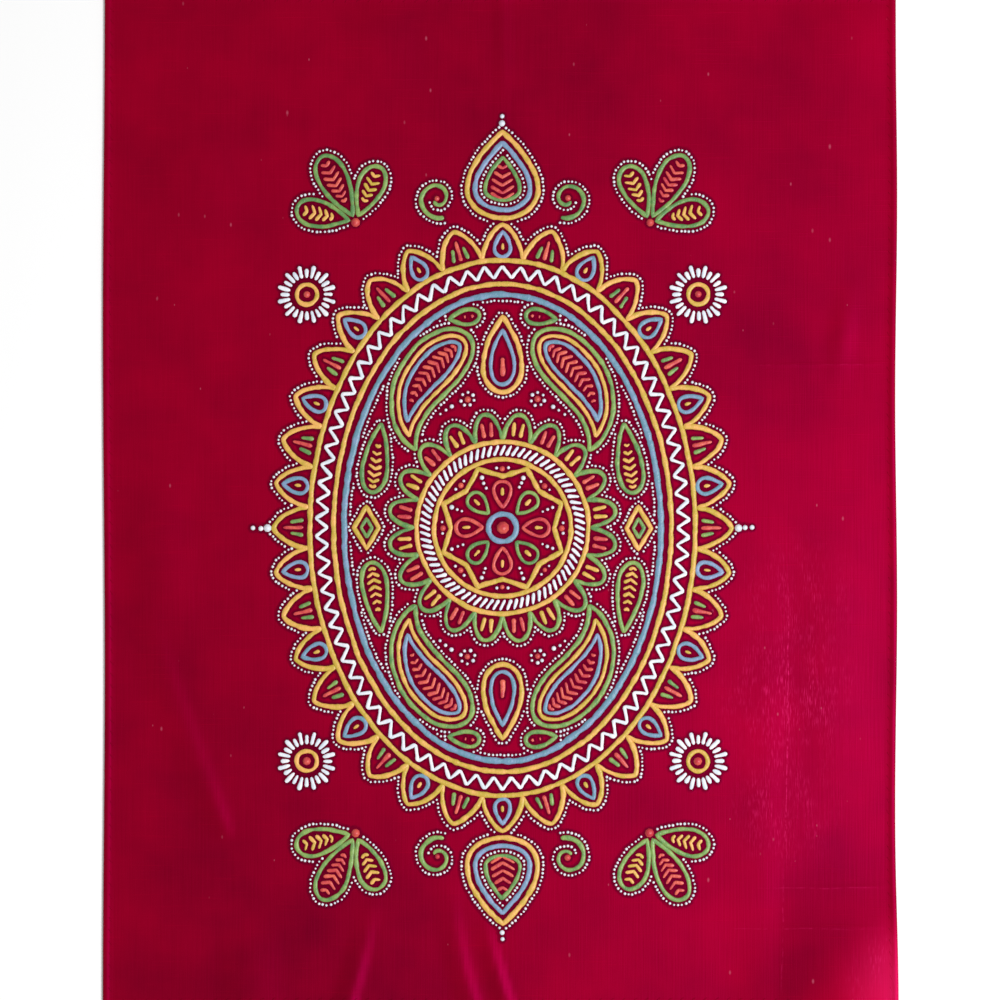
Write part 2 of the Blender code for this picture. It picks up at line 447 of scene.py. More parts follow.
# %% Scallops and lobes: arches that stand on a ring
SCALLOP_VEINS, SCALLOP_VEIN_LINE = (((-1.25, 1.6), (-1.75, 6.6)), ((1.25, 1.6), (1.75, 6.6))), 1.4
LOBE_DROP, LOBE_DROP_AT, LOBE_DROP_LINE = (9.0, 5.6), (0, 0.9), 1.4
LOBE_SEED, LOBE_SEED_LINE = ((0, 3.4), (0, 5.6)), 1.2
LOBE_VEINS = (("green", ((-2.7, 1.7), (-1.95, 6.2))), ("coral", ((0, 1.7), (0, 8.8))),
              ("green", ((2.7, 1.7), (1.95, 6.2))))
LOBE_VEIN_LINE = 1.35


def arches(feet, height, point, fullness, colour, width, fill):
    """Stand an arch on each pair of neighbouring feet, dotted outside, and fill it."""
    for index, (foot_a, foot_b) in enumerate(zip(feet, np.roll(feet, -1, axis=0))):
        lay(colour, width, arch(foot_a, foot_b, height, point, fullness), dotted=1)
        chord = foot_b - foot_a
        fill(index, (foot_a + foot_b) / 2, math.degrees(math.atan2(chord[1], chord[0])))


def fill_scallop(index, middle, degrees):
    for vein in SCALLOP_VEINS:
        lay("coral" if index % 2 else "yellow", SCALLOP_VEIN_LINE, placed(vein, middle, degrees))


def fill_lobe(index, middle, degrees):
    if index % 2:
        shape = Drop(*LOBE_DROP, placed(LOBE_DROP_AT, middle, degrees), degrees)
        lay("blue", LOBE_DROP_LINE, drop(shape), True)
        lay("yellow", LOBE_SEED_LINE, placed(LOBE_SEED, middle, degrees))
        return
    for colour, vein in LOBE_VEINS:
        lay(colour, LOBE_VEIN_LINE, placed(vein, middle, degrees))


# %% Nested outlines, leaves and rosettes
Layer = namedtuple("Layer", "colour width inset dotted")
LEAF_LINE, LEAF_RIB_CLEARANCE = 1.5, 2.1
ROSETTE_DOT, ROSETTE_DOTS, ROSETTE_RADIUS, ROSETTE_SMALL_DOT = 1.15, 7, 2.4, 0.62


def nest(path, layers, mirrors):
    """Lay a closed path, and within it the same path inset for each further layer."""
    for layer in layers:
        inner = inset_path(path, layer.inset) if layer.inset else path
        lay(layer.colour, layer.width, inner, True, mirrors, layer.dotted)


def leaf(rib_colour, shape, opening):
    """A green drop with ribs, in each quarter."""
    lay("green", LEAF_LINE, drop(shape), True, QUARTERS, dotted=1)
    ribs(rib_colour, shape, LEAF_RIB_CLEARANCE, opening, QUARTERS)


def rosette(at):
    """A coral dot in a ring of seven white ones, in each quarter."""
    large_dot("coral", ROSETTE_DOT, at, QUARTERS)
    for turn in range(ROSETTE_DOTS):
        spot = placed((0, ROSETTE_RADIUS), at, FULL_TURN * turn / ROSETTE_DOTS)
        large_dot("white", ROSETTE_SMALL_DOT, spot, QUARTERS)


# %% The field: paisleys, drops, diamonds and leaves
PAISLEY, PAISLEY_RIB_CLEARANCE = Drop(50, 19.5, (12.0, 69.0), -128.0, 84), 6.7
PAISLEY_LAYERS = (Layer("green", 1.6, 0.0, 1), Layer("yellow", 1.4, 2.5, 0), Layer("blue", 1.4, 4.7, 0))
FIELD_DROP, FIELD_DROP_VEIN, FIELD_DROP_VEIN_LINE = Drop(27, 14, (0, 49.0)), ((0, 54.6), (0, 61.2)), 1.6
FIELD_DROP_LAYERS = (Layer("yellow", 1.7, 0.0, 1), Layer("blue", 1.4, 2.7, 0))
DIAMOND = np.array(((0, 7.6), (-4.4, 0), (0, -7.6), (4.4, 0)))
DIAMOND_AT, DIAMOND_LINE = (49.0, 0), 1.6
DIAMOND_CORE_SHARE, DIAMOND_CORE_LINE = 0.44, 1.3
SIDE_LEAF, END_LEAF = Drop(25, 9.0, (47.2, 12.6), 8.0), Drop(11, 5.4, (8.4, 76.6), -98.0)
ROSETTE_AT = (12.6, 46.3)
FIELD_DOTS = (((18.3, 43.6), 0.75), ((20.5, 42.2), 0.62), ((22.4, 40.7), 0.5))


def field():
    nest(drop(PAISLEY), PAISLEY_LAYERS, QUARTERS)
    ribs("coral", PAISLEY, PAISLEY_RIB_CLEARANCE, 1, QUARTERS)
    nest(drop(FIELD_DROP), FIELD_DROP_LAYERS, ENDS)
    lay("coral", FIELD_DROP_VEIN_LINE, FIELD_DROP_VEIN, mirrors=ENDS)
    lay("yellow", DIAMOND_LINE, DIAMOND + DIAMOND_AT, True, FLANKS, dotted=-1)
    lay("green", DIAMOND_CORE_LINE, DIAMOND * DIAMOND_CORE_SHARE + DIAMOND_AT, True, FLANKS)
    leaf("yellow", SIDE_LEAF, 1)
    leaf("coral", END_LEAF, 1)
    rosette(ROSETTE_AT)
    for at, radius in FIELD_DOTS:
        large_dot("white", radius, at, QUARTERS)


# %% The band: a zigzag between two ovals
BAND_OVALS = (("blue", 2.1, (57.0, 84.0), -1), ("yellow", 1.8, (60.8, 87.8), 0),
              ("yellow", 1.8, (69.4, 96.4), 0))
TEETH, ZIGZAG_INNER, ZIGZAG_OUTER, ZIGZAG_LINE = 78, (62.8, 89.8), (67.4, 94.4), 1.2


def band():
    for colour, width, half_sizes, dotted in BAND_OVALS:
        lay(colour, width, oval(*half_sizes), True, dotted=dotted)
    inner, outer = (oval(*half_sizes, 2 * TEETH) for half_sizes in (ZIGZAG_INNER, ZIGZAG_OUTER))
    for index in range(2 * TEETH):
        start, end = (inner, outer) if index % 2 else (outer, inner)
        lay("white", ZIGZAG_LINE, (start[index], end[(index + 1) % (2 * TEETH)]))


# %% A pendant at each end, with curls beside it
PENDANT, PENDANT_RIB_CLEARANCE = Drop(31, 25.5, (0, 111.5)), 8.5
PENDANT_LAYERS = (Layer("yellow", 1.8, 0.0, 1), Layer("blue", 1.7, 2.9, -1), Layer("green", 1.4, 6.5, 0))
CURL_AT, CURL_RADIUS, CURL_TURNS, CURL_START, CURL_LINE, CURL_DOT = (23.5, 118.5), 7.2, 1.2, -110, 1.5, 1.1
END_DOTS_AT, END_DOTS = 145.6, (1.1, 0.8)
FLANK_DOTS_AT, FLANK_DOTS = 84.8, (1.3, 1.0, 0.8)
LARGE_DOT_PITCH = 2.5


def pendants():
    nest(drop(PENDANT), PENDANT_LAYERS, ENDS)
    ribs("coral", PENDANT, PENDANT_RIB_CLEARANCE, 1, ENDS)
    lay("green", CURL_LINE, curl(CURL_RADIUS, CURL_TURNS, CURL_START) + CURL_AT, False, QUARTERS, dotted=-1)
    large_dot("coral", CURL_DOT, CURL_AT, QUARTERS)
    for step, radius in enumerate(END_DOTS):
        large_dot("white", radius, (0, END_DOTS_AT + LARGE_DOT_PITCH * step), ENDS)
    for step, radius in enumerate(FLANK_DOTS):
        large_dot("white", radius, (FLANK_DOTS_AT + LARGE_DOT_PITCH * step, 0), FLANKS)


# %% A spray of three leaves and a sun in each corner
HALF_TURN = 180
SPRAY_ROOT, SPRAY_DOT, SPRAY_GAP = (53.0, 110.0), 1.5, 2.6
SprayLeaf = namedtuple("SprayLeaf", "lean length width rib_colour")
SPRAY_LEAVES = (SprayLeaf(23, 19, 9.4, "yellow"), SprayLeaf(-27, 24, 10.2, "coral"),
                SprayLeaf(-77, 19, 9.4, "yellow"))
SUN_AT, SUN_DOT, SUN_RING, SUN_RING_LINE = (70.5, 84.0), 1.3, 3.6, 1.5
SUN_RAYS, RAY_FOOT, SHORT_RAY, LONG_RAY, RAY_LINE = 24, 6.1, 9.3, 10.6, 1.4


def sprays():
    large_dot("coral", SPRAY_DOT, SPRAY_ROOT, QUARTERS)
    for lean, length, width, rib_colour in SPRAY_LEAVES:
        head = placed((0, SPRAY_GAP + length), SPRAY_ROOT, lean)
        leaf(rib_colour, Drop(length, width, head, lean + HALF_TURN), -1)


def suns():
    large_dot("coral", SUN_DOT, SUN_AT, QUARTERS)
    lay("yellow", SUN_RING_LINE, ring(SUN_RING) + SUN_AT, True, QUARTERS)
    for turn in range(SUN_RAYS):
        ray = ((0, LONG_RAY if turn % 2 else SHORT_RAY), (0, RAY_FOOT))
        lay("white", RAY_LINE, placed(ray, SUN_AT, FULL_TURN * turn / SUN_RAYS), mirrors=QUARTERS)


# %% Draw the whole design
SCALLOP_RING, SCALLOPS = 31.8, 20
LOBE_OVAL, LOBES = (70.2, 97.2), 36

heart()
rope()
arches(feet=oval(SCALLOP_RING, SCALLOP_RING, SCALLOPS), height=9.6, point=2.2, fullness=0.55,
       colour="green", width=1.5, fill=fill_scallop)
field()
band()
arches(feet=oval(*LOBE_OVAL, 2 * LOBES)[1::2], height=12.4, point=1.45, fullness=0.6,
       colour="yellow", width=1.65, fill=fill_lobe)
pendants()
sprays()
suns()
print(len(strokes), "strokes and", len(large_dots), "large dots")

# %% [markdown]
# ## Rows of white dots
# Last of all, the maker follows each motif's edge with small white dots. A dot is left out where there's no
# room, and never touches a line or another dot. A k-d tree finds the paint near each dot fast, so thousands
# of tests take a moment.


# %% A k-d tree of flat points
def tree_of(points):
    """A k-d tree, for points in millimetres."""
    tree = KDTree(len(points))
    for index, point in enumerate(points):
        tree.insert((point[0], point[1], 0.0), index)
    tree.balance()
    return tree


# %% Walk a row of dots round each dotted edge
DOT_RADIUS, DOT_PITCH, DOT_SPACING, CLEARANCE = 0.46, 1.42, 1.20, 0.14
SAMPLE_STEP = 0.4
WIDEST_REACH = 2.1


def dot_rows():
    """Places of the small dots that have room."""
    samples, reaches = [], []
    for stroke in strokes:
        points = stepped(stroke.path, stroke.closed, SAMPLE_STEP)
        samples.extend(points)
        reaches.extend([stroke.width / 2] * len(points))
    for dot in large_dots:
        samples.append(dot.at)
        reaches.append(dot.radius)
    paint = tree_of(samples)

    wanted = []
    for edge in dotted_edges:
        fine = stepped(edge.path, edge.closed, SAMPLE_STEP)
        for spot in stepped(beside(fine, edge.closed, edge.gap), edge.closed, DOT_PITCH):
            near = paint.find_range((spot[0], spot[1], 0.0), WIDEST_REACH + DOT_RADIUS)
            if all(gap - reaches[index] > DOT_RADIUS + CLEARANCE for _, index, gap in near):
                wanted.append(spot)

    neighbours = tree_of(wanted)
    kept = set()
    for number, spot in enumerate(wanted):
        near = neighbours.find_range((spot[0], spot[1], 0.0), DOT_SPACING)
        if not any(index in kept for _, index, _ in near):
            kept.add(number)
    return [wanted[number] for number in sorted(kept)]


small_dots = dot_rows()
print(len(small_dots), "small white dots")

# %% [markdown]
# ## Node trees as small machines
# Everything that repeats along a path is made by Geometry Nodes: a thread of paint swept along its stroke, a
# dome on each dot, a stitch on each step of the hem. Two parts of these machines are shared, so they are node
# groups. One makes the hand's drift, the same at one place for a line and for the dots beside it. The other
# lets finished paint down on the cloth, with a ray from above for each point. A short function then gives
# these trees the same end.


# %% Helpers that build a node tree
NODE_COLUMN, NODE_ROW, NODES_IN_ROW = 200, -320, 12


def add(tree, kind, inputs=None, **settings):
    """Add a node, set its properties, and give its sockets values or another node's output."""
    node = tree.nodes.new(kind)
    row, column = divmod(len(tree.nodes), NODES_IN_ROW)
    node.location = (NODE_COLUMN * column, NODE_ROW * row)
    for name, value in settings.items():
        setattr(node, name, value)
    for name, value in (inputs or {}).items():
        if isinstance(value, bpy.types.NodeSocket):
            tree.links.new(value, node.inputs[name])
        else:
            node.inputs[name].default_value = value
    return node


def new_tree(name, kind, inputs, outputs):
    """An empty node group with named inputs and outputs, given as name: (socket type, default)."""
    tree = bpy.data.node_groups.new(name, kind)
    for title, (socket_type, default) in inputs.items():
        socket = tree.interface.new_socket(title, in_out="INPUT", socket_type=socket_type)
        if default is not None:
            socket.default_value = default
    for title, socket_type in outputs.items():
        tree.interface.new_socket(title, in_out="OUTPUT", socket_type=socket_type)
    return tree, tree.nodes.new("NodeGroupInput").outputs


def calculate(tree, operation, first, second=0.0, third=0.0):
    """The result of a Math node."""
    return add(tree, "ShaderNodeMath", {0: first, 1: second, 2: third}, operation=operation).outputs[0]


def rescaled(tree, value, span, onto=(0.0, 1.0), **settings):
    """Where a value lies in a span, from 0 to 1 or between two other ends."""
    return add(tree, "ShaderNodeMapRange", {
        0: value, 1: span[0], 2: span[1], 3: onto[0], 4: onto[1]}, **settings).outputs[0]


# %% The hand's drift
DRIFT, DRIFT_SIZE = 0.00050, 0.010
NOISE_MIDDLE, BOTH_WAYS = (0.5, 0.5, 0.5), (2.0, 2.0, 0.0)


def drift_group():
    tree, given = new_tree("hand_drift", "GeometryNodeTree", {
        "Geometry": ("NodeSocketGeometry", None),
        "Drift": ("NodeSocketFloat", DRIFT),
        "Size": ("NodeSocketFloat", DRIFT_SIZE),
    }, {"Geometry": "NodeSocketGeometry"})
    noise = add(tree, "ShaderNodeTexNoise", {
        "Scale": calculate(tree, "DIVIDE", 1.0, given["Size"]), "Detail": 2.0, "Roughness": 0.6})
    centred = add(tree, "ShaderNodeVectorMath", {0: noise.outputs["Color"], 1: NOISE_MIDDLE},
                  operation="SUBTRACT")
    flat = add(tree, "ShaderNodeVectorMath", {0: centred.outputs[0], 1: BOTH_WAYS},
               operation="MULTIPLY")
    offset = add(tree, "ShaderNodeVectorMath", {0: flat.outputs[0], "Scale": given["Drift"]},
                 operation="SCALE")
    moved = add(tree, "GeometryNodeSetPosition", {
        "Geometry": given["Geometry"], "Offset": offset.outputs[0]})
    add(tree, "NodeGroupOutput", {"Geometry": moved.outputs[0]})
    return tree


hand_drift = drift_group()

# %% Letting paint down on the cloth
RAY_START = 0.05
SUNK = 0.00004


def let_down_group():
    tree, given = new_tree("let_down", "GeometryNodeTree", {
        "Geometry": ("NodeSocketGeometry", None),
        "Cloth": ("NodeSocketObject", None),
        "Sunk": ("NodeSocketFloat", SUNK),
    }, {"Geometry": "NodeSocketGeometry"})
    target = add(tree, "GeometryNodeObjectInfo", {"Object": given["Cloth"]})
    place = add(tree, "GeometryNodeInputPosition")
    parts = add(tree, "ShaderNodeSeparateXYZ", {0: place.outputs[0]})
    above = add(tree, "ShaderNodeCombineXYZ", {0: parts.outputs[0], 1: parts.outputs[1], 2: RAY_START})
    ray = add(tree, "GeometryNodeRaycast", {
        "Target Geometry": target.outputs["Geometry"], "Source Position": above.outputs[0],
        "Ray Direction": (0.0, 0.0, -1.0), "Ray Length": 2 * RAY_START})
    ground = add(tree, "ShaderNodeSeparateXYZ", {0: ray.outputs["Hit Position"]})
    bottom = calculate(tree, "MULTIPLY", given["Sunk"], -1.0)
    own_height = calculate(tree, "MAXIMUM", parts.outputs[2], bottom)
    height = calculate(tree, "ADD", own_height, ground.outputs[2])
    final = add(tree, "ShaderNodeCombineXYZ", {0: parts.outputs[0], 1: parts.outputs[1], 2: height})
    moved = add(tree, "GeometryNodeSetPosition", {
        "Geometry": given["Geometry"], "Position": final.outputs[0]})
    add(tree, "NodeGroupOutput", {"Geometry": moved.outputs[0]})
    return tree


let_down = let_down_group()
print("groups:", hand_drift.name, let_down.name)

# %% The end that the laying trees share
SHARP_ANGLE = math.radians(50)


def end_tree(tree, geometry, given):
    """Let geometry down on the cloth, keep its rim sharp, make it real and give it its material."""
    laid = add(tree, "GeometryNodeGroup", node_tree=let_down)
    tree.links.new(geometry, laid.inputs["Geometry"])
    tree.links.new(given["Cloth"], laid.inputs["Cloth"])
    smooth = add(tree, "GeometryNodeSetShadeSmooth", {"Geometry": laid.outputs[0]})
    angle = add(tree, "GeometryNodeInputMeshEdgeAngle")
    sharp = add(tree, "FunctionNodeCompare", {0: angle.outputs[0], 1: SHARP_ANGLE},
                operation="GREATER_THAN")
    creased = add(tree, "GeometryNodeSetShadeSmooth", {
        "Geometry": smooth.outputs[0], "Selection": sharp.outputs[0], "Shade Smooth": False},
        domain="EDGE")
    real = add(tree, "GeometryNodeRealizeInstances", {"Geometry": creased.outputs[0]})
    coloured = add(tree, "GeometryNodeSetMaterial", {
        "Geometry": real.outputs[0], "Material": given["Material"]})
    add(tree, "NodeGroupOutput", {"Geometry": coloured.outputs[0]})
    return tree

# %% [markdown]
# ## A thread of paint
# A thread that has been let down is flat below and round above, a little wavy, round at its ends, and thinner
# where the stylus left the cloth. Curve to Mesh sweeps one drawn section along every stroke. The section is
# drawn one unit to each side, so the thread's half width can be its scale. The same tree makes the strips of
# oil, with a wider, much flatter section.

# %% The tree that sweeps a thread
END_SHARE = 0.12
WIDTH_NOISE_SIZE = 0.0030


def thread_tree():
    tree, given = new_tree("laid_thread", "GeometryNodeTree", {
        "Geometry": ("NodeSocketGeometry", None),
        "Cloth": ("NodeSocketObject", None),
        "Section": ("NodeSocketObject", None),
        "Step": ("NodeSocketFloat", 0.00055),
        "Spread": ("NodeSocketFloat", 0.0),
        "Width Variation": ("NodeSocketFloat", 0.55),
        "Lean": ("NodeSocketFloat", 0.30),
        "Material": ("NodeSocketMaterial", None),
    }, {"Geometry": "NodeSocketGeometry"})
    curve = add(tree, "GeometryNodeMeshToCurve", {"Mesh": given["Geometry"]})
    even = add(tree, "GeometryNodeResampleCurve", {
        "Curve": curve.outputs[0], "Length": given["Step"]}, mode="LENGTH")
    drifted = add(tree, "GeometryNodeGroup", node_tree=hand_drift)
    tree.links.new(even.outputs[0], drifted.inputs["Geometry"])
    level = add(tree, "GeometryNodeSetCurveNormal", {"Curve": drifted.outputs[0]}, mode="Z_UP")

    own_half = add(tree, "GeometryNodeInputNamedAttribute", {"Name": "half_width"}, data_type="FLOAT")
    half = calculate(tree, "ADD", own_half.outputs[0], given["Spread"])
    parameter = add(tree, "GeometryNodeSplineParameter")
    run = parameter.outputs["Length"]
    whole = add(tree, "GeometryNodeSplineLength").outputs["Length"]
    from_end = calculate(tree, "MINIMUM", run, calculate(tree, "SUBTRACT", whole, run))
    share = calculate(tree, "ADD", calculate(tree, "DIVIDE", from_end, half), END_SHARE)
    share = calculate(tree, "MINIMUM", share, 1.0)
    rounded = calculate(tree, "SQRT", calculate(tree, "MULTIPLY", share,
                                                calculate(tree, "SUBTRACT", 2.0, share)))
    before_middle = calculate(tree, "SUBTRACT", 0.5, parameter.outputs["Factor"])
    thinning = calculate(tree, "MULTIPLY_ADD", before_middle, given["Lean"], 1.0)
    cyclic = add(tree, "GeometryNodeInputSplineCyclic")
    taper = add(tree, "GeometryNodeSwitch", {
        "Switch": cyclic.outputs[0], "False": calculate(tree, "MULTIPLY", rounded, thinning),
        "True": 1.0}, input_type="FLOAT")
    noise = add(tree, "ShaderNodeTexNoise", {"Scale": 1.0 / WIDTH_NOISE_SIZE, "Detail": 2.0})
    swing = calculate(tree, "MULTIPLY_ADD", noise.outputs["Fac"], 2.0, -1.0)
    varied = calculate(tree, "MULTIPLY_ADD", swing, given["Width Variation"], 1.0)
    scale = calculate(tree, "MULTIPLY", calculate(tree, "MULTIPLY", half, varied), taper.outputs[0])

    drawn = add(tree, "GeometryNodeObjectInfo", {"Object": given["Section"]})
    section = add(tree, "GeometryNodeMeshToCurve", {"Mesh": drawn.outputs["Geometry"]})
    swept = add(tree, "GeometryNodeCurveToMesh", {
        "Curve": level.outputs[0], "Profile Curve": section.outputs[0], "Scale": scale,
        "Fill Caps": True})
    return end_tree(tree, swept.outputs[0], given)


laid_thread = thread_tree()
print("thread tree:", len(laid_thread.nodes), "nodes")

# %% The tree that sets a dome on each dot
DOME_SEGMENTS, DOME_RINGS = 8, 4


def dots_tree():
    tree, given = new_tree("set_dots", "GeometryNodeTree", {
        "Geometry": ("NodeSocketGeometry", None),
        "Cloth": ("NodeSocketObject", None),
        "Spread": ("NodeSocketFloat", 0.0),
        "Height Share": ("NodeSocketFloat", 0.7),
        "Size Variation": ("NodeSocketFloat", 0.20),
        "Jitter": ("NodeSocketFloat", 0.00016),
        "Seed": ("NodeSocketInt", 3),
        "Material": ("NodeSocketMaterial", None),
    }, {"Geometry": "NodeSocketGeometry"})
    drifted = add(tree, "GeometryNodeGroup", node_tree=hand_drift)
    tree.links.new(given["Geometry"], drifted.inputs["Geometry"])
    minus_one = (-1.0, -1.0, 0.0)
    aside = add(tree, "FunctionNodeRandomValue", {0: minus_one, 1: (1.0, 1.0, 0.0), "Seed": given["Seed"]},
                data_type="FLOAT_VECTOR")
    shift = add(tree, "ShaderNodeVectorMath", {0: aside.outputs[0], "Scale": given["Jitter"]},
                operation="SCALE")
    scattered = add(tree, "GeometryNodeSetPosition", {
        "Geometry": drifted.outputs[0], "Offset": shift.outputs[0]})
    own = add(tree, "GeometryNodeInputNamedAttribute", {"Name": "half_width"}, data_type="FLOAT")
    swing = add(tree, "FunctionNodeRandomValue", {2: -1.0, 3: 1.0, "Seed": given["Seed"]},
                data_type="FLOAT")
    varied = calculate(tree, "MULTIPLY_ADD", swing.outputs[1], given["Size Variation"], 1.0)
    radius = calculate(tree, "MULTIPLY_ADD", own.outputs[0], varied, given["Spread"])
    height = calculate(tree, "MULTIPLY", radius, given["Height Share"])
    size = add(tree, "ShaderNodeCombineXYZ", {0: radius, 1: radius, 2: height})
    dome = add(tree, "GeometryNodeMeshUVSphere", {
        "Segments": DOME_SEGMENTS, "Rings": DOME_RINGS, "Radius": 1.0})
    turn = add(tree, "FunctionNodeRandomValue", {2: 0.0, 3: math.pi, "Seed": given["Seed"]},
               data_type="FLOAT")
    rotation = add(tree, "ShaderNodeCombineXYZ", {2: turn.outputs[1]})
    placed_domes = add(tree, "GeometryNodeInstanceOnPoints", {
        "Points": scattered.outputs[0], "Instance": dome.outputs[0],
        "Rotation": rotation.outputs[0], "Scale": size.outputs[0]})
    real = add(tree, "GeometryNodeRealizeInstances", {"Geometry": placed_domes.outputs[0]})
    return end_tree(tree, real.outputs[0], given)


set_dots = dots_tree()
print("dot tree:", len(set_dots.nodes), "nodes")

# %% [markdown]
# ## From strokes to meshes
# A tree reads its strokes from a mesh of loose edges. Each point of it carries two attributes: the half width
# of the stroke, and a tone, because no two loads of the stylus are mixed the same. The result of a tree is
# kept as a plain mesh, which the export can read.

# %% Loose edges with a half width and a tone
MM = 0.001
DESIGN_AT = (0.9, -10.0)
SECTION = ((-1.0, 0.0), (-0.88, 0.22), (-0.45, 0.37), (0.0, 0.40), (0.45, 0.37),
           (0.88, 0.22), (1.0, 0.0), (0.0, -0.05))
FLAT_SECTION = ((-1.0, 0.0), (-0.78, 0.010), (-0.5, 0.016), (0.5, 0.016), (0.78, 0.010),
                (1.0, 0.0), (0.0, -0.02))
shades = np.random.default_rng(seed=11)


def loose_paths(name, rows):
    """Loose edges along paths in metres, from (path in mm, closed, half width in mm) rows."""
    points, edges, half_widths, tones = [], [], [], []
    for path, closed, half_width in rows:
        first, count = len(points), len(path)
        points.extend(((x + DESIGN_AT[0]) * MM, (y + DESIGN_AT[1]) * MM, 0.0) for x, y in path)
        edges.extend((number, number + 1) for number in range(first, first + count - 1))
        if closed:
            edges.append((first + count - 1, first))
        half_widths.extend([half_width * MM] * count)
        tones.extend([shades.random()] * count)
    mesh = bpy.data.meshes.new(name)
    mesh.from_pydata(points, edges, [])
    for title, values in (("half_width", half_widths), ("tone", tones)):
        mesh.attributes.new(title, "FLOAT", "POINT").data.foreach_set("value", values)
    return mesh


def drawn_section(name, outline):
    """A closed outline of (across, up) points as an object that a tree can sweep.

    On a level curve, Curve to Mesh turns a section's Y downwards, so up is taken off here.
    """
    mesh = bpy.data.meshes.new(name)
    count = len(outline)
    mesh.from_pydata([(across, -up, 0.0) for across, up in outline],
                     [(number, (number + 1) % count) for number in range(count)], [])
    return bpy.data.objects.new(name, mesh)


# %% Run a tree and keep the result
def grow(name, source, tree, **values):
    """Run a tree on a mesh and keep what it makes as a plain mesh under that name."""
    piece = bpy.data.objects.new(name, source)
    bpy.context.collection.objects.link(piece)
    modifier = piece.modifiers.new(tree.name, "NODES")
    modifier.node_group = tree
    for socket in tree.interface.items_tree:
        if socket.item_type == "SOCKET" and socket.in_out == "INPUT" and socket.name in values:
            modifier[socket.identifier] = values[socket.name]
    depsgraph = bpy.context.evaluated_depsgraph_get()
    mesh = bpy.data.meshes.new_from_object(piece.evaluated_get(depsgraph))
    piece.modifiers.remove(modifier)
    piece.data = mesh
    mesh.name = name
    mesh.calc_loop_triangles()
    print(f"{name}: {len(mesh.loop_triangles)} triangles")
    return piece


# %% [markdown]
# ## The finish of the paint
# Dried rogan is a thick, slightly glossy skin. Its colour wanders a little along a stroke and from stroke to
# stroke, and its surface isn't quite smooth. One node group gives those three things. Each colour's own
# material keeps its shader, with the gloss set on the shader's own sockets.

# %% The group that varies the paint
Paint = namedtuple("Paint", "light dark roughness")
PAINTS = {
    "yellow": Paint((0.88, 0.46, 0.115, 1), (0.60, 0.42, 0.045, 1), 0.42),
    "white": Paint((0.92, 0.93, 0.98, 1), (0.72, 0.80, 0.90, 1), 0.45),
    "blue": Paint((0.24, 0.34, 0.56, 1), (0.14, 0.31, 0.42, 1), 0.42),
    "green": Paint((0.26, 0.42, 0.10, 1), (0.10, 0.27, 0.075, 1), 0.42),
    "coral": Paint((0.80, 0.13, 0.080, 1), (0.58, 0.030, 0.050, 1), 0.42),
}
MOTTLE_SIZE, GRAIN_SIZE = 0.0026, 0.0007
MOTTLE_CONTRAST, MOTTLE_SHIFT, TONE_SHARE = 3.0, -1.3, 0.6
GLOSS_SWING = 0.16


def paint_group():
    tree, given = new_tree("oil_paint", "ShaderNodeTree", {
        "Light": ("NodeSocketColor", (1, 1, 1, 1)),
        "Dark": ("NodeSocketColor", (0.5, 0.5, 0.5, 1)),
        "Mottle Size": ("NodeSocketFloat", MOTTLE_SIZE),
        "Grain Size": ("NodeSocketFloat", GRAIN_SIZE),
        "Roughness": ("NodeSocketFloat", 0.42),
    }, {"Color": "NodeSocketColor", "Roughness": "NodeSocketFloat", "Height": "NodeSocketFloat"})
    place = add(tree, "ShaderNodeTexCoord").outputs["Object"]
    mottle = add(tree, "ShaderNodeTexNoise", {
        "Vector": place, "Scale": calculate(tree, "DIVIDE", 1.0, given["Mottle Size"]), "Detail": 3.0})
    grain = add(tree, "ShaderNodeTexNoise", {
        "Vector": place, "Scale": calculate(tree, "DIVIDE", 1.0, given["Grain Size"]), "Detail": 2.0})
    tone = add(tree, "ShaderNodeAttribute", attribute_name="tone").outputs["Fac"]
    share = calculate(tree, "MULTIPLY_ADD", mottle.outputs["Fac"], MOTTLE_CONTRAST, MOTTLE_SHIFT)
    share = calculate(tree, "MULTIPLY_ADD", tone, TONE_SHARE, share)
    share = add(tree, "ShaderNodeClamp", {0: share}).outputs[0]
    colour = add(tree, "ShaderNodeMix", {0: share, 6: given["Light"], 7: given["Dark"]},
                 data_type="RGBA")
    gloss = calculate(tree, "MULTIPLY_ADD", grain.outputs["Fac"], GLOSS_SWING, -GLOSS_SWING / 2)
    gloss = calculate(tree, "ADD", gloss, given["Roughness"])
    add(tree, "NodeGroupOutput", {
        "Color": colour.outputs[2], "Roughness": gloss, "Height": grain.outputs["Fac"]})
    return tree


oil_paint = paint_group()


# %% One material for each colour of paint
def new_material(name):
    """A new material, its node tree and its shader."""
    material = bpy.data.materials.new(name)
    material.use_nodes = True
    return material, material.node_tree, material.node_tree.nodes["Principled BSDF"]


def paint_material(colour):
    paint = PAINTS[colour]
    material, tree, shader = new_material(f"{colour}_oil_paint")
    group = add(tree, "ShaderNodeGroup", node_tree=oil_paint)
    group.inputs["Light"].default_value = paint.light
    group.inputs["Dark"].default_value = paint.dark
    group.inputs["Roughness"].default_value = paint.roughness
    bump = add(tree, "ShaderNodeBump", {
        "Height": group.outputs["Height"], "Strength": 0.6, "Distance": 0.0003})
    tree.links.new(group.outputs["Color"], shader.inputs["Base Color"])
    tree.links.new(group.outputs["Roughness"], shader.inputs["Roughness"])
    tree.links.new(bump.outputs[0], shader.inputs["Normal"])
    shader.inputs["Coat Weight"].default_value = 0.15
    shader.inputs["Coat Roughness"].default_value = 0.25
    material.diffuse_color = paint.light
    return material


paint_materials = {colour: paint_material(colour) for colour in PAINTS}
print("paints:", ", ".join(paint_materials))

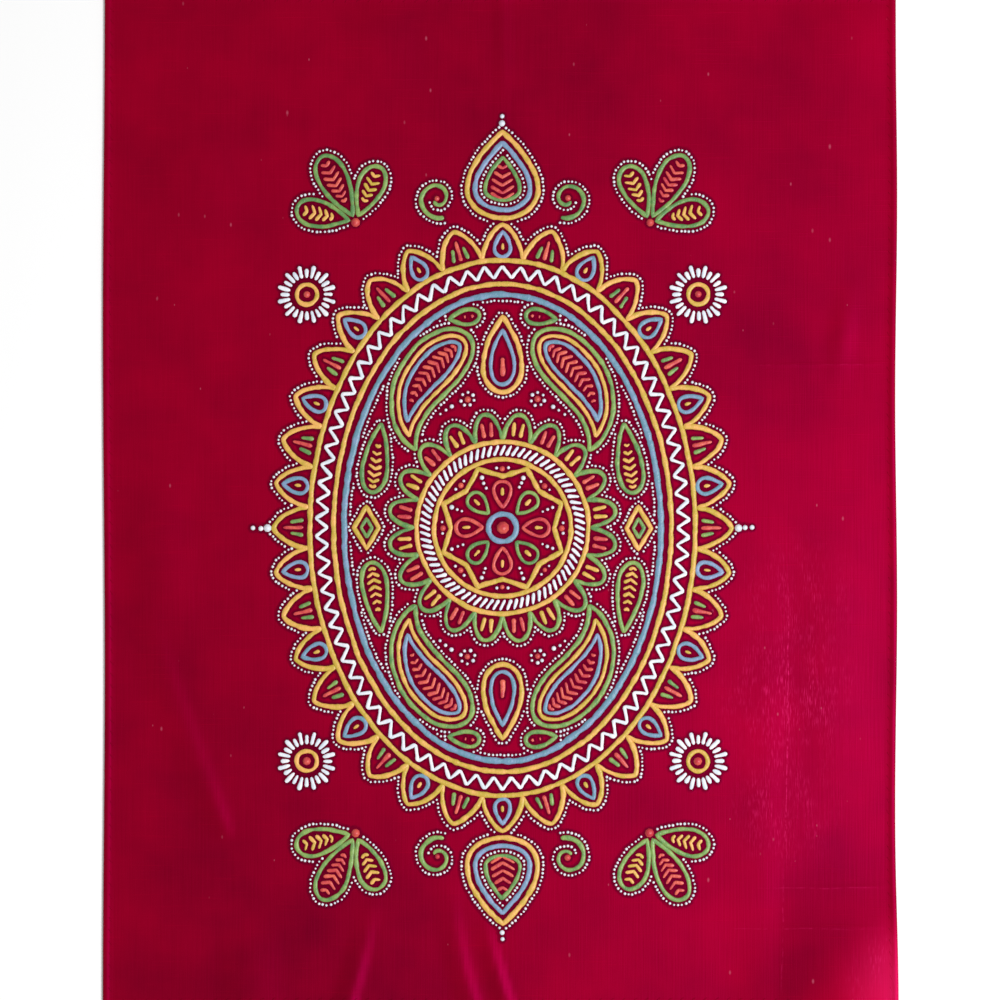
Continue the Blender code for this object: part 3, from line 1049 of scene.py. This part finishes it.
# %% Lay the lines and set the dots
section = drawn_section("thread_section", SECTION)
paint_pieces = {}
for colour, material in paint_materials.items():
    rows = [(stroke.path, stroke.closed, stroke.width / 2) for stroke in strokes if stroke.colour == colour]
    lines = loose_paths(f"{colour}_paths", rows)
    paint_pieces[f"{colour}_lines"] = grow(f"{colour}_lines", lines, laid_thread, Cloth=cloth,
                                           Section=section, Material=material)
    rows = [((dot.at,), False, dot.radius) for dot in large_dots if dot.colour == colour]
    if colour == "white":
        rows += [((spot,), False, DOT_RADIUS) for spot in small_dots]
    if rows:
        spots = loose_paths(f"{colour}_spots", rows)
        paint_pieces[f"{colour}_dots"] = grow(f"{colour}_dots", spots, set_dots, Cloth=cloth,
                                              Material=material)

# %% [markdown]
# ## The finish of the satin
# Satin is woven so that long warp threads float on its face. That gives fine streaks up the cloth, a few
# thicker threads across it, and a sheen in the dye's own colour. Oil from the paint soaks into the threads
# next to it and darkens them, and that darkening is also painted shade at the foot of the raised paint. One
# node group gives the streaks and stains as colour, roughness and height, and it paints shade, shine, sheen
# and glints into the colour where the lamp and the room light the satin more or less. The attribute "oil" is
# nothing on the bare cloth and one beside the paint, so one material serves for both.

# %% Painted shade and painted shine: soft marks that belong to one place
Mark = namedtuple("Mark", "name across up reach strength")
# Painted shade and painted shine: each mark darkens or brightens the satin's colour round one place, where
# the lamp and the room light it less or more.
PAINTED_SHADE_AND_SHINE = (
    # The first two marks are painted shade: darker patches in the lower right.
    Mark("painted shade in the lower right hollow", 0.122, -0.128, 0.024, -0.22),
    Mark("painted shade by the foot of the long crease", 0.104, -0.172, 0.022, -0.20),
    Mark("upper left shade", -0.112, 0.115, 0.042, -0.06),
    Mark("top shade", 0.010, 0.150, 0.085, -0.20),
    Mark("left shade", -0.125, -0.070, 0.100, -0.14),
    Mark("lower left shade", -0.070, -0.175, 0.120, -0.34),
    Mark("upper right shade", 0.104, 0.132, 0.052, -0.15),
    Mark("right of design shade", 0.093, 0.055, 0.055, -0.26),
    Mark("right shine", 0.108, -0.020, 0.110, 0.10),
    Mark("right edge shade", 0.145, -0.060, 0.065, -0.10),
    Mark("top right shine", 0.142, 0.170, 0.045, 0.12),
    Mark("under design shade", 0.050, -0.112, 0.040, -0.12),
    Mark("shade beside the corner", 0.116, -0.156, 0.044, -0.16),
    Mark("foot shine", 0.092, -0.156, 0.030, 0.14),
    Mark("crease shine", 0.096, -0.085, 0.040, 0.14),
    Mark("corner shine", 0.156, -0.186, 0.056, 1.10),
)


def mark_share(tree, place, mark):
    """How strongly one mark tells at a place: its strength at its middle, 0 from its reach outwards."""
    gap = add(tree, "ShaderNodeVectorMath", {0: place, 1: (mark.across, mark.up, 0.0)},
              operation="DISTANCE")
    return rescaled(tree, gap.outputs[1], (0.0, mark.reach), (mark.strength, 0.0),
                    interpolation_type="SMOOTHERSTEP")


def total(tree, values):
    """The sum of several values."""
    whole = values[0]
    for value in values[1:]:
        whole = calculate(tree, "ADD", whole, value)
    return whole


# %% Painted highlights: fine bright lines along the creases
CreaseHighlight = namedtuple("CreaseHighlight", "name across up length turn_degrees strength")
# Painted highlight: each line is a fine bright line painted into the satin's colour where a crease catches
# the lamp.
CREASE_HIGHLIGHTS = (
    CreaseHighlight("long crease", 0.1034, -0.0820, 0.104, 89.4, 1.00),
    CreaseHighlight("foot of the long crease", 0.1018, -0.1540, 0.050, 89.0, 0.30),
    CreaseHighlight("lower cross crease", 0.1160, -0.1396, 0.050, 0.3, 0.22),
    CreaseHighlight("lowest cross crease", 0.1100, -0.1542, 0.062, 0.3, 0.22),
    CreaseHighlight("upper cross crease", 0.1130, 0.0487, 0.050, 0.3, 0.16),
)
CREASE_HIGHLIGHT_HALF_WIDTH = 0.00032
CREASE_HIGHLIGHT_FULL_SHARE = 0.3


def crease_highlight_share(tree, place, line):
    """How strongly a painted crease highlight tells at a place, from its middle, length and turn."""
    to_middle = add(tree, "ShaderNodeVectorMath", {0: place, 1: (line.across, line.up, 0.0)},
                    operation="SUBTRACT")
    turned = add(tree, "ShaderNodeVectorRotate", {
        "Vector": to_middle.outputs[0], "Angle": -math.radians(line.turn_degrees)}, rotation_type="Z_AXIS")
    along, beside_line, _ = add(tree, "ShaderNodeSeparateXYZ", {0: turned.outputs[0]}).outputs
    fading = (CREASE_HIGHLIGHT_FULL_SHARE * line.length, line.length / 2)
    near = rescaled(tree, calculate(tree, "ABSOLUTE", beside_line), (0.0, CREASE_HIGHLIGHT_HALF_WIDTH), (1.0, 0.0))
    within = rescaled(tree, calculate(tree, "ABSOLUTE", along), fading, (1.0, 0.0))
    return calculate(tree, "MULTIPLY", calculate(tree, "MULTIPLY", near, within), line.strength)


# %% Noise stretched along the threads
def woven_noise(tree, place, scale, detail, output="Fac"):
    """Noise with its own scale across and along the cloth."""
    stretched = add(tree, "ShaderNodeMapping", {"Vector": place, "Scale": scale})
    return add(tree, "ShaderNodeTexNoise", {
        "Vector": stretched.outputs[0], "Scale": 1.0, "Detail": detail}).outputs[output]


def swing(tree, noise, amount, value):
    """A value changed by a noise that swings to either side."""
    centred = calculate(tree, "SUBTRACT", noise, 0.5)
    return calculate(tree, "MULTIPLY_ADD", centred, amount, value)


# %% The dyed threads: streaks of the warp, bands and blotches, with the painted shade and shine of the soft marks
CRIMSON = (0.257, 0.0001, 0.0088, 1.0)
BAND_SCALE, BLOTCH_SCALE = (140.0, 5.0, 0.0), 42.0


def dyed_threads_with_painted_light(tree, given, place, warp, slub):
    """The dye's colour over the cloth, from the noise of its warp and of its thicker threads, with painted
    shade and painted shine from the marks.
    """
    band = woven_noise(tree, place, BAND_SCALE, 2.0)
    blotch = add(tree, "ShaderNodeTexNoise", {
        "Vector": place, "Scale": BLOTCH_SCALE, "Detail": 3.0}).outputs["Fac"]
    brightness = swing(tree, warp, given["Streaks"], 1.0)
    brightness = swing(tree, band, given["Bands"], brightness)
    brightness = swing(tree, blotch, given["Blotches"], brightness)
    brightness = calculate(tree, "MULTIPLY_ADD", slub, given["Slubs"], brightness)
    # Painted shade and painted shine: the marks brighten or darken the dye where the light falls more or
    # less.
    brightness = total(tree, [brightness] + [mark_share(tree, place, mark) for mark in PAINTED_SHADE_AND_SHINE])
    return add(tree, "ShaderNodeVectorMath", {0: CRIMSON[:3], "Scale": brightness},
               operation="SCALE").outputs[0]


# %% Painted glints: short bright dashes of thread, and the painted crease highlights broken up
# GLINT is the colour of the painted highlights and the painted sheen on the satin.
GLINT = (0.78, 0.022, 0.170, 1.0)
GLINT_SCALE, PATCH_SCALE = (3000.0, 270.0, 0.0), (190.0, 60.0, 0.0)
BREAK_SCALE, WAVE_SCALE, LINE_WAVE = (380.0, 420.0, 0.0), (90.0, 90.0, 0.0), 0.0014
DASH_SPAN, PATCH_SPAN, BREAK_SPAN = (0.51, 0.74), (0.34, 0.60), (0.42, 0.66)
# Painted glints: where short bright dashes are painted into the satin's colour.
GLINTING = (
    Mark("top of the painted glints", 0.107, -0.034, 0.032, 0.5),
    Mark("painted glints", 0.105, -0.070, 0.036, 0.9),
    Mark("foot of the painted glints", 0.102, -0.110, 0.030, 0.7),
    Mark("painted glints at the corner", 0.150, -0.178, 0.036, 1.0),
)
# Painted sheen: a soft brightening towards GLINT over the right side and the bottom right corner.
SHEENS = (
    Mark("right sheen", 0.135, -0.070, 0.120, 0.02),
    Mark("corner sheen", 0.151, -0.178, 0.037, 0.33),
)


def waved_place(tree, place):
    """The place with a slight wave, so that a painted crease highlight isn't ruled."""
    centred = add(tree, "ShaderNodeVectorMath", {
        0: woven_noise(tree, place, WAVE_SCALE, 3.0, "Color"), 1: NOISE_MIDDLE}, operation="SUBTRACT")
    return add(tree, "ShaderNodeVectorMath", {
        0: centred.outputs[0], 1: (LINE_WAVE, LINE_WAVE, 0.0), 2: place},
        operation="MULTIPLY_ADD").outputs[0]


def painted_glints(tree, given, place, colour):
    """The colour with painted glints, painted crease highlights and painted sheen over it."""
    dash = rescaled(tree, woven_noise(tree, place, GLINT_SCALE, 2.0), DASH_SPAN)
    patch = rescaled(tree, woven_noise(tree, place, PATCH_SCALE, 2.0), PATCH_SPAN)
    glinting_share = total(tree, [mark_share(tree, place, mark) for mark in GLINTING])
    glint = calculate(tree, "MULTIPLY", calculate(tree, "MULTIPLY", dash, patch), glinting_share)
    broken = rescaled(tree, woven_noise(tree, place, BREAK_SCALE, 4.0), BREAK_SPAN)
    waved = waved_place(tree, place)
    for line in CREASE_HIGHLIGHTS:
        glint = calculate(tree, "MULTIPLY_ADD", crease_highlight_share(tree, waved, line), broken, glint)
    glint = calculate(tree, "MULTIPLY", glint, given["Glints"])
    sheen = total(tree, [mark_share(tree, place, mark) for mark in SHEENS])
    return add(tree, "ShaderNodeMix", {
        0: calculate(tree, "ADD", glint, sheen), 6: colour, 7: GLINT}, data_type="RGBA").outputs[2]


# %% Lint: a fleck in a few cells of a stretched pattern
LINT = (0.50, 0.10, 0.17, 1.0)
LINT_SCALE, LINT_ABOVE, LINT_STRENGTH = (640.0, 330.0, 0.0), 0.988, 0.65
LINT_CORE, LINT_SIZE_SWING, LINT_LEAST_SIZE = 0.05, 0.25, 0.12


def linted(tree, place, colour):
    """The colour with a little pale lint on it."""
    stretched = add(tree, "ShaderNodeMapping", {"Vector": place, "Scale": LINT_SCALE})
    cells = add(tree, "ShaderNodeTexVoronoi", {"Vector": stretched.outputs[0], "Scale": 1.0})
    chance, size, _ = add(tree, "ShaderNodeSeparateColor", {0: cells.outputs["Color"]}).outputs
    chosen = calculate(tree, "GREATER_THAN", chance, LINT_ABOVE)
    reach = calculate(tree, "MULTIPLY_ADD", size, LINT_SIZE_SWING, LINT_LEAST_SIZE)
    small = rescaled(tree, cells.outputs["Distance"], (LINT_CORE, reach), (LINT_STRENGTH, 0.0))
    fleck = calculate(tree, "MULTIPLY", chosen, small)
    return add(tree, "ShaderNodeMix", {0: fleck, 6: colour, 7: LINT}, data_type="RGBA").outputs[2]


# %% The group that weaves the satin and paints its shade, shine, sheen and glints
# The darkest colour beside the paint: oil-soaked satin and painted shade in one.
OILED_AND_SHADED = (0.075, 0.0001, 0.0030, 1.0)
WARP_SCALE, SLUB_SCALE, SLUB_SPAN = (1500.0, 40.0, 0.0), (45.0, 1700.0, 0.0), (0.60, 0.78)
WARP_GLOSS, OIL_DULLS, SLUB_RELIEF = 0.14, 0.12, 0.6


def satin_group():
    tree, given = new_tree("woven_satin", "ShaderNodeTree", {
        "Oil And Shade": ("NodeSocketFloat", 0.0),
        "Streaks": ("NodeSocketFloat", 0.11),
        "Bands": ("NodeSocketFloat", 0.05),
        "Slubs": ("NodeSocketFloat", 0.14),
        "Blotches": ("NodeSocketFloat", 0.62),
        "Glints": ("NodeSocketFloat", 0.72),
        "Roughness": ("NodeSocketFloat", 0.46),
    }, {"Color": "NodeSocketColor", "Roughness": "NodeSocketFloat", "Height": "NodeSocketFloat"})
    place = add(tree, "ShaderNodeTexCoord").outputs["Object"]
    warp = woven_noise(tree, place, WARP_SCALE, 3.0)
    slub = rescaled(tree, woven_noise(tree, place, SLUB_SCALE, 2.0), SLUB_SPAN)
    colour = dyed_threads_with_painted_light(tree, given, place, warp, slub)
    colour = painted_glints(tree, given, place, colour)
    colour = linted(tree, place, colour)
    # Oil stain and painted shade: the colour is mixed towards the dark oil colour at the paint's foot.
    oiled_and_shaded = add(tree, "ShaderNodeMix", {0: given["Oil And Shade"], 6: colour, 7: OILED_AND_SHADED}, data_type="RGBA")

    gloss = swing(tree, warp, WARP_GLOSS, given["Roughness"])
    gloss = calculate(tree, "MULTIPLY_ADD", given["Oil And Shade"], OIL_DULLS, gloss)
    height = calculate(tree, "MULTIPLY_ADD", slub, SLUB_RELIEF, warp)
    add(tree, "NodeGroupOutput", {"Color": oiled_and_shaded.outputs[2], "Roughness": gloss, "Height": height})
    return tree


woven_satin = satin_group()
print("satin group:", len(woven_satin.nodes), "nodes")


# %% The satin's own material
DYED_SHINE = (1.0, 0.0, 0.22, 1.0)


def satin_material():
    material, tree, shader = new_material("crimson_satin_cloth")
    group = add(tree, "ShaderNodeGroup", node_tree=woven_satin)
    # The attribute "oil" carries both the oil stain and the painted shade round the paint.
    oil = add(tree, "ShaderNodeAttribute", attribute_name="oil")
    tree.links.new(oil.outputs["Fac"], group.inputs["Oil And Shade"])
    bump = add(tree, "ShaderNodeBump", {
        "Height": group.outputs["Height"], "Strength": 0.22, "Distance": 0.0002})
    tree.links.new(group.outputs["Color"], shader.inputs["Base Color"])
    tree.links.new(group.outputs["Roughness"], shader.inputs["Roughness"])
    tree.links.new(bump.outputs[0], shader.inputs["Normal"])
    shader.inputs["Specular IOR Level"].default_value = 0.75
    shader.inputs["Specular Tint"].default_value = DYED_SHINE
    shader.inputs["Sheen Weight"].default_value = 0.08
    shader.inputs["Sheen Roughness"].default_value = 0.35
    shader.inputs["Sheen Tint"].default_value = DYED_SHINE
    material.diffuse_color = CRIMSON
    return material


satin = satin_material()
cloth.data.materials.append(satin)
print("satin material:", len(satin.node_tree.nodes), "nodes")

# %% [markdown]
# ## Oil and painted shade round the paint
# The castor oil creeps about a millimetre out of the paint, so each line stands in a dark edge, and a narrow
# gap between two lines is darker still. The same dark edge is painted shade: it stands in for the shade at
# the foot of the raised paint and between close lines. Thin strips of the same satin lie a few hundredths of
# a millimetre over the cloth, under every line and dot. Geometry Proximity measures how far each of their
# points is from any paint, so strips that overlap agree with each other.

# %% The tree that measures the oil stain and the painted shade
# Oil stain and painted shade: the reach and gain of the darkening round every line and dot.
OIL_AND_SHADE_REACH = 0.0013
OIL_AND_SHADE_GAIN = 1.5


def oil_and_shade_tree():
    tree, given = new_tree("oil_and_shade_reach", "GeometryNodeTree", {
        "Geometry": ("NodeSocketGeometry", None),
        "Paint": ("NodeSocketCollection", None),
        "Reach": ("NodeSocketFloat", OIL_AND_SHADE_REACH),
        "Gain": ("NodeSocketFloat", OIL_AND_SHADE_GAIN),
        "Material": ("NodeSocketMaterial", None),
    }, {"Geometry": "NodeSocketGeometry"})
    paint = add(tree, "GeometryNodeCollectionInfo", {"Collection": given["Paint"]})
    real_paint = add(tree, "GeometryNodeRealizeInstances", {"Geometry": paint.outputs[0]})
    near = add(tree, "GeometryNodeProximity", {0: real_paint.outputs[0]}, target_element="FACES")
    away = calculate(tree, "DIVIDE", near.outputs["Distance"], given["Reach"])
    close = calculate(tree, "MULTIPLY", calculate(tree, "SUBTRACT", 1.0, away), given["Gain"])
    oil = rescaled(tree, close, (0.0, 1.0), interpolation_type="SMOOTHSTEP")
    stored = add(tree, "GeometryNodeStoreNamedAttribute", {
        "Geometry": given["Geometry"], "Name": "oil", "Value": oil},
        data_type="FLOAT", domain="POINT")
    real = add(tree, "GeometryNodeRealizeInstances", {"Geometry": stored.outputs[0]})
    coloured = add(tree, "GeometryNodeSetMaterial", {
        "Geometry": real.outputs[0], "Material": given["Material"]})
    add(tree, "NodeGroupOutput", {"Geometry": coloured.outputs[0]})
    return tree


oil_and_shade_reach = oil_and_shade_tree()


# %% Lay the strips and measure them
STRIP_STEP = 0.0011
DISC_HEIGHT_SHARE = 0.02


def run_on(path, gap):
    """A path that runs straight on past both its ends."""
    start, end = path[0] - path[1], path[-1] - path[-2]
    return np.concatenate(([path[0] + start / math.hypot(*start) * gap], path,
                           [path[-1] + end / math.hypot(*end) * gap]))


paint_set = bpy.data.collections.new("paint")
for piece in paint_pieces.values():
    paint_set.objects.link(piece)

reach_mm = OIL_AND_SHADE_REACH / MM
rows = [(stroke.path if stroke.closed else run_on(stroke.path, reach_mm), stroke.closed,
         stroke.width / 2) for stroke in strokes]
flat_section = drawn_section("strip_section", FLAT_SECTION)
strip_source = grow("oil_strip_source", loose_paths("oil_and_shade_paths", rows), laid_thread, Cloth=cloth,
                    Section=flat_section, Step=STRIP_STEP, Spread=OIL_AND_SHADE_REACH, Material=satin)
rows = [((spot,), False, DOT_RADIUS) for spot in small_dots]
rows += [((dot.at,), False, dot.radius) for dot in large_dots]
disc_source = grow("oil_disc_source", loose_paths("oil_and_shade_spots", rows), set_dots, Cloth=cloth,
                   Spread=OIL_AND_SHADE_REACH, **{"Height Share": DISC_HEIGHT_SHARE}, Material=satin)
oil_and_shade_pieces = {}
for name, source in (("oil_strips", strip_source), ("oil_discs", disc_source)):
    oil_and_shade_pieces[name] = grow(name, source.data, oil_and_shade_reach, Paint=paint_set, Material=satin)
    bpy.data.objects.remove(source)
bpy.data.collections.remove(paint_set)

# %% [markdown]
# ## Stitches along the hem
# The hem is held by small slanting stitches in thread of the cloth's own colour. They sit where the
# bead meets the cloth, one every few millimetres, so a tree sets one short thread on each step of a loop.

# %% The tree that sews the hem
STITCH_PITCH, STITCH_LENGTH, STITCH_RADIUS, STITCH_SLANT = 0.0042, 0.0022, 0.00016, math.radians(35)
LEAST_SLANT, MOST_SLANT = 0.7, 1.3


def stitch_tree():
    tree, given = new_tree("hem_stitches", "GeometryNodeTree", {
        "Geometry": ("NodeSocketGeometry", None),
        "Cloth": ("NodeSocketObject", None),
        "Pitch": ("NodeSocketFloat", STITCH_PITCH),
        "Length": ("NodeSocketFloat", STITCH_LENGTH),
        "Radius": ("NodeSocketFloat", STITCH_RADIUS),
        "Slant": ("NodeSocketFloat", STITCH_SLANT),
        "Seed": ("NodeSocketInt", 5),
        "Material": ("NodeSocketMaterial", None),
    }, {"Geometry": "NodeSocketGeometry"})
    curve = add(tree, "GeometryNodeMeshToCurve", {"Mesh": given["Geometry"]})
    even = add(tree, "GeometryNodeResampleCurve", {
        "Curve": curve.outputs[0], "Length": given["Pitch"]}, mode="LENGTH")
    tangent = add(tree, "GeometryNodeInputTangent")
    along = add(tree, "FunctionNodeAlignRotationToVector", {"Vector": tangent.outputs[0]}, axis="X")
    unsteady = add(tree, "FunctionNodeRandomValue", {
        2: LEAST_SLANT, 3: MOST_SLANT, "Seed": given["Seed"]}, data_type="FLOAT")
    slant = calculate(tree, "MULTIPLY", given["Slant"], unsteady.outputs[1])
    slanted = add(tree, "ShaderNodeCombineXYZ", {2: slant})
    turned = add(tree, "FunctionNodeRotateRotation", {0: along.outputs[0], 1: slanted.outputs[0]},
                 rotation_space="LOCAL")
    half_length = calculate(tree, "MULTIPLY", given["Length"], 0.5)
    size = add(tree, "ShaderNodeCombineXYZ", {0: half_length, 1: given["Radius"], 2: given["Radius"]})
    bead = add(tree, "GeometryNodeMeshUVSphere", {"Segments": 6, "Rings": 6, "Radius": 1.0})
    sewn = add(tree, "GeometryNodeInstanceOnPoints", {
        "Points": even.outputs[0], "Instance": bead.outputs[0], "Rotation": turned.outputs[0],
        "Scale": size.outputs[0]})
    real = add(tree, "GeometryNodeRealizeInstances", {"Geometry": sewn.outputs[0]})
    return end_tree(tree, real.outputs[0], given)


def hem_loop():
    """The line where the hem's bead meets the cloth, as loose edges."""
    half_across = CLOTH_WIDTH / 2 - HEM_WIDTH
    half_up = CLOTH_LENGTH / 2 - HEM_WIDTH
    corners = np.array(((-1, -1), (1, -1), (1, 1), (-1, 1))) * (half_across, half_up)
    loop = stepped(corners, True, HEM_WIDTH)
    across, up = cloth_outline(loop[:, 0], loop[:, 1])
    mesh = bpy.data.meshes.new("hem_loop")
    count = len(loop)
    mesh.from_pydata([(x, y, 0.0) for x, y in zip(across, up)],
                     [(number, (number + 1) % count) for number in range(count)], [])
    return mesh


stitches = grow("hem_stitches", hem_loop(), stitch_tree(), Cloth=cloth, Material=satin)

# %% [markdown]
# ## The table, the light and the camera
# The photograph looks straight down. A pale strip of table shows at each side of the cloth, and its top and
# bottom hems lie just outside the picture. A large soft lamp stands high on the right, a little towards the
# foot, which makes the right of the cloth brighter than its left, and the pale room fills the rest. Painted
# shine and painted shade in the satin's colour add to that difference.

# %% A pale table top
FLOOR_HALF, FLOOR_DROP = 8.0, 0.0003
floor_mesh = bpy.data.meshes.new("table_top")
floor_mesh.from_pydata([(-FLOOR_HALF, -FLOOR_HALF, -FLOOR_DROP), (FLOOR_HALF, -FLOOR_HALF, -FLOOR_DROP),
                        (FLOOR_HALF, FLOOR_HALF, -FLOOR_DROP), (-FLOOR_HALF, FLOOR_HALF, -FLOOR_DROP)],
                       [], [(0, 1, 2, 3)])
floor = bpy.data.objects.new("table_top", floor_mesh)
bpy.context.collection.objects.link(floor)
floor_material, _, floor_shader = new_material("pale_table_top")
floor_shader.inputs["Base Color"].default_value = (0.98, 0.98, 0.98, 1.0)
floor_shader.inputs["Roughness"].default_value = 0.8
floor_shader.inputs["Emission Color"].default_value = (1.0, 1.0, 1.0, 1.0)
floor_shader.inputs["Emission Strength"].default_value = 0.08
floor_mesh.materials.append(floor_material)

# %% Soft studio light
LAMP_AT, LAMP_SIZE, LAMP_WATTS = (0.68, -0.22, 1.15), 0.50, 15.0
ROOM_STRENGTH = 0.40

light = bpy.data.lights.new("key", "AREA")
light.shape = "SQUARE"
light.size = LAMP_SIZE
light.energy = LAMP_WATTS
lamp = bpy.data.objects.new("key", light)
bpy.context.collection.objects.link(lamp)
lamp.location = LAMP_AT
lamp.rotation_euler = lamp.location.to_track_quat("Z", "Y").to_euler()

room = bpy.data.worlds.new("pale_room")
room.use_nodes = True
room.node_tree.nodes["Background"].inputs["Color"].default_value = (1.0, 1.0, 1.0, 1.0)
room.node_tree.nodes["Background"].inputs["Strength"].default_value = ROOM_STRENGTH
bpy.context.scene.world = room
bpy.context.scene.view_settings.view_transform = "Standard"
print("a lamp of", LAMP_WATTS, "W in a room of strength", ROOM_STRENGTH)

# %% The camera, straight above
CAMERA_HEIGHT = 1.2
SENSOR_WIDTH = 36.0
PICTURE_WIDTH = 0.3602

camera_data = bpy.data.cameras.new("camera")
camera_data.sensor_width = SENSOR_WIDTH
camera_data.lens = SENSOR_WIDTH * CAMERA_HEIGHT / PICTURE_WIDTH
camera = bpy.data.objects.new("camera", camera_data)
bpy.context.collection.objects.link(camera)
camera.location = (0.0, 0.0, CAMERA_HEIGHT)
bpy.context.scene.camera = camera
print("lens:", round(camera_data.lens, 1), "mm")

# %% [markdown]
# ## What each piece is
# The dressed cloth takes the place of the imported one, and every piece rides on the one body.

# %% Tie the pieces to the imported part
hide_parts("painted_cloth")
pieces = [cloth, stitches, *oil_and_shade_pieces.values(), *paint_pieces.values()]
for piece in pieces:
    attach(piece, "root")
print(len(pieces), "pieces ride on the part")
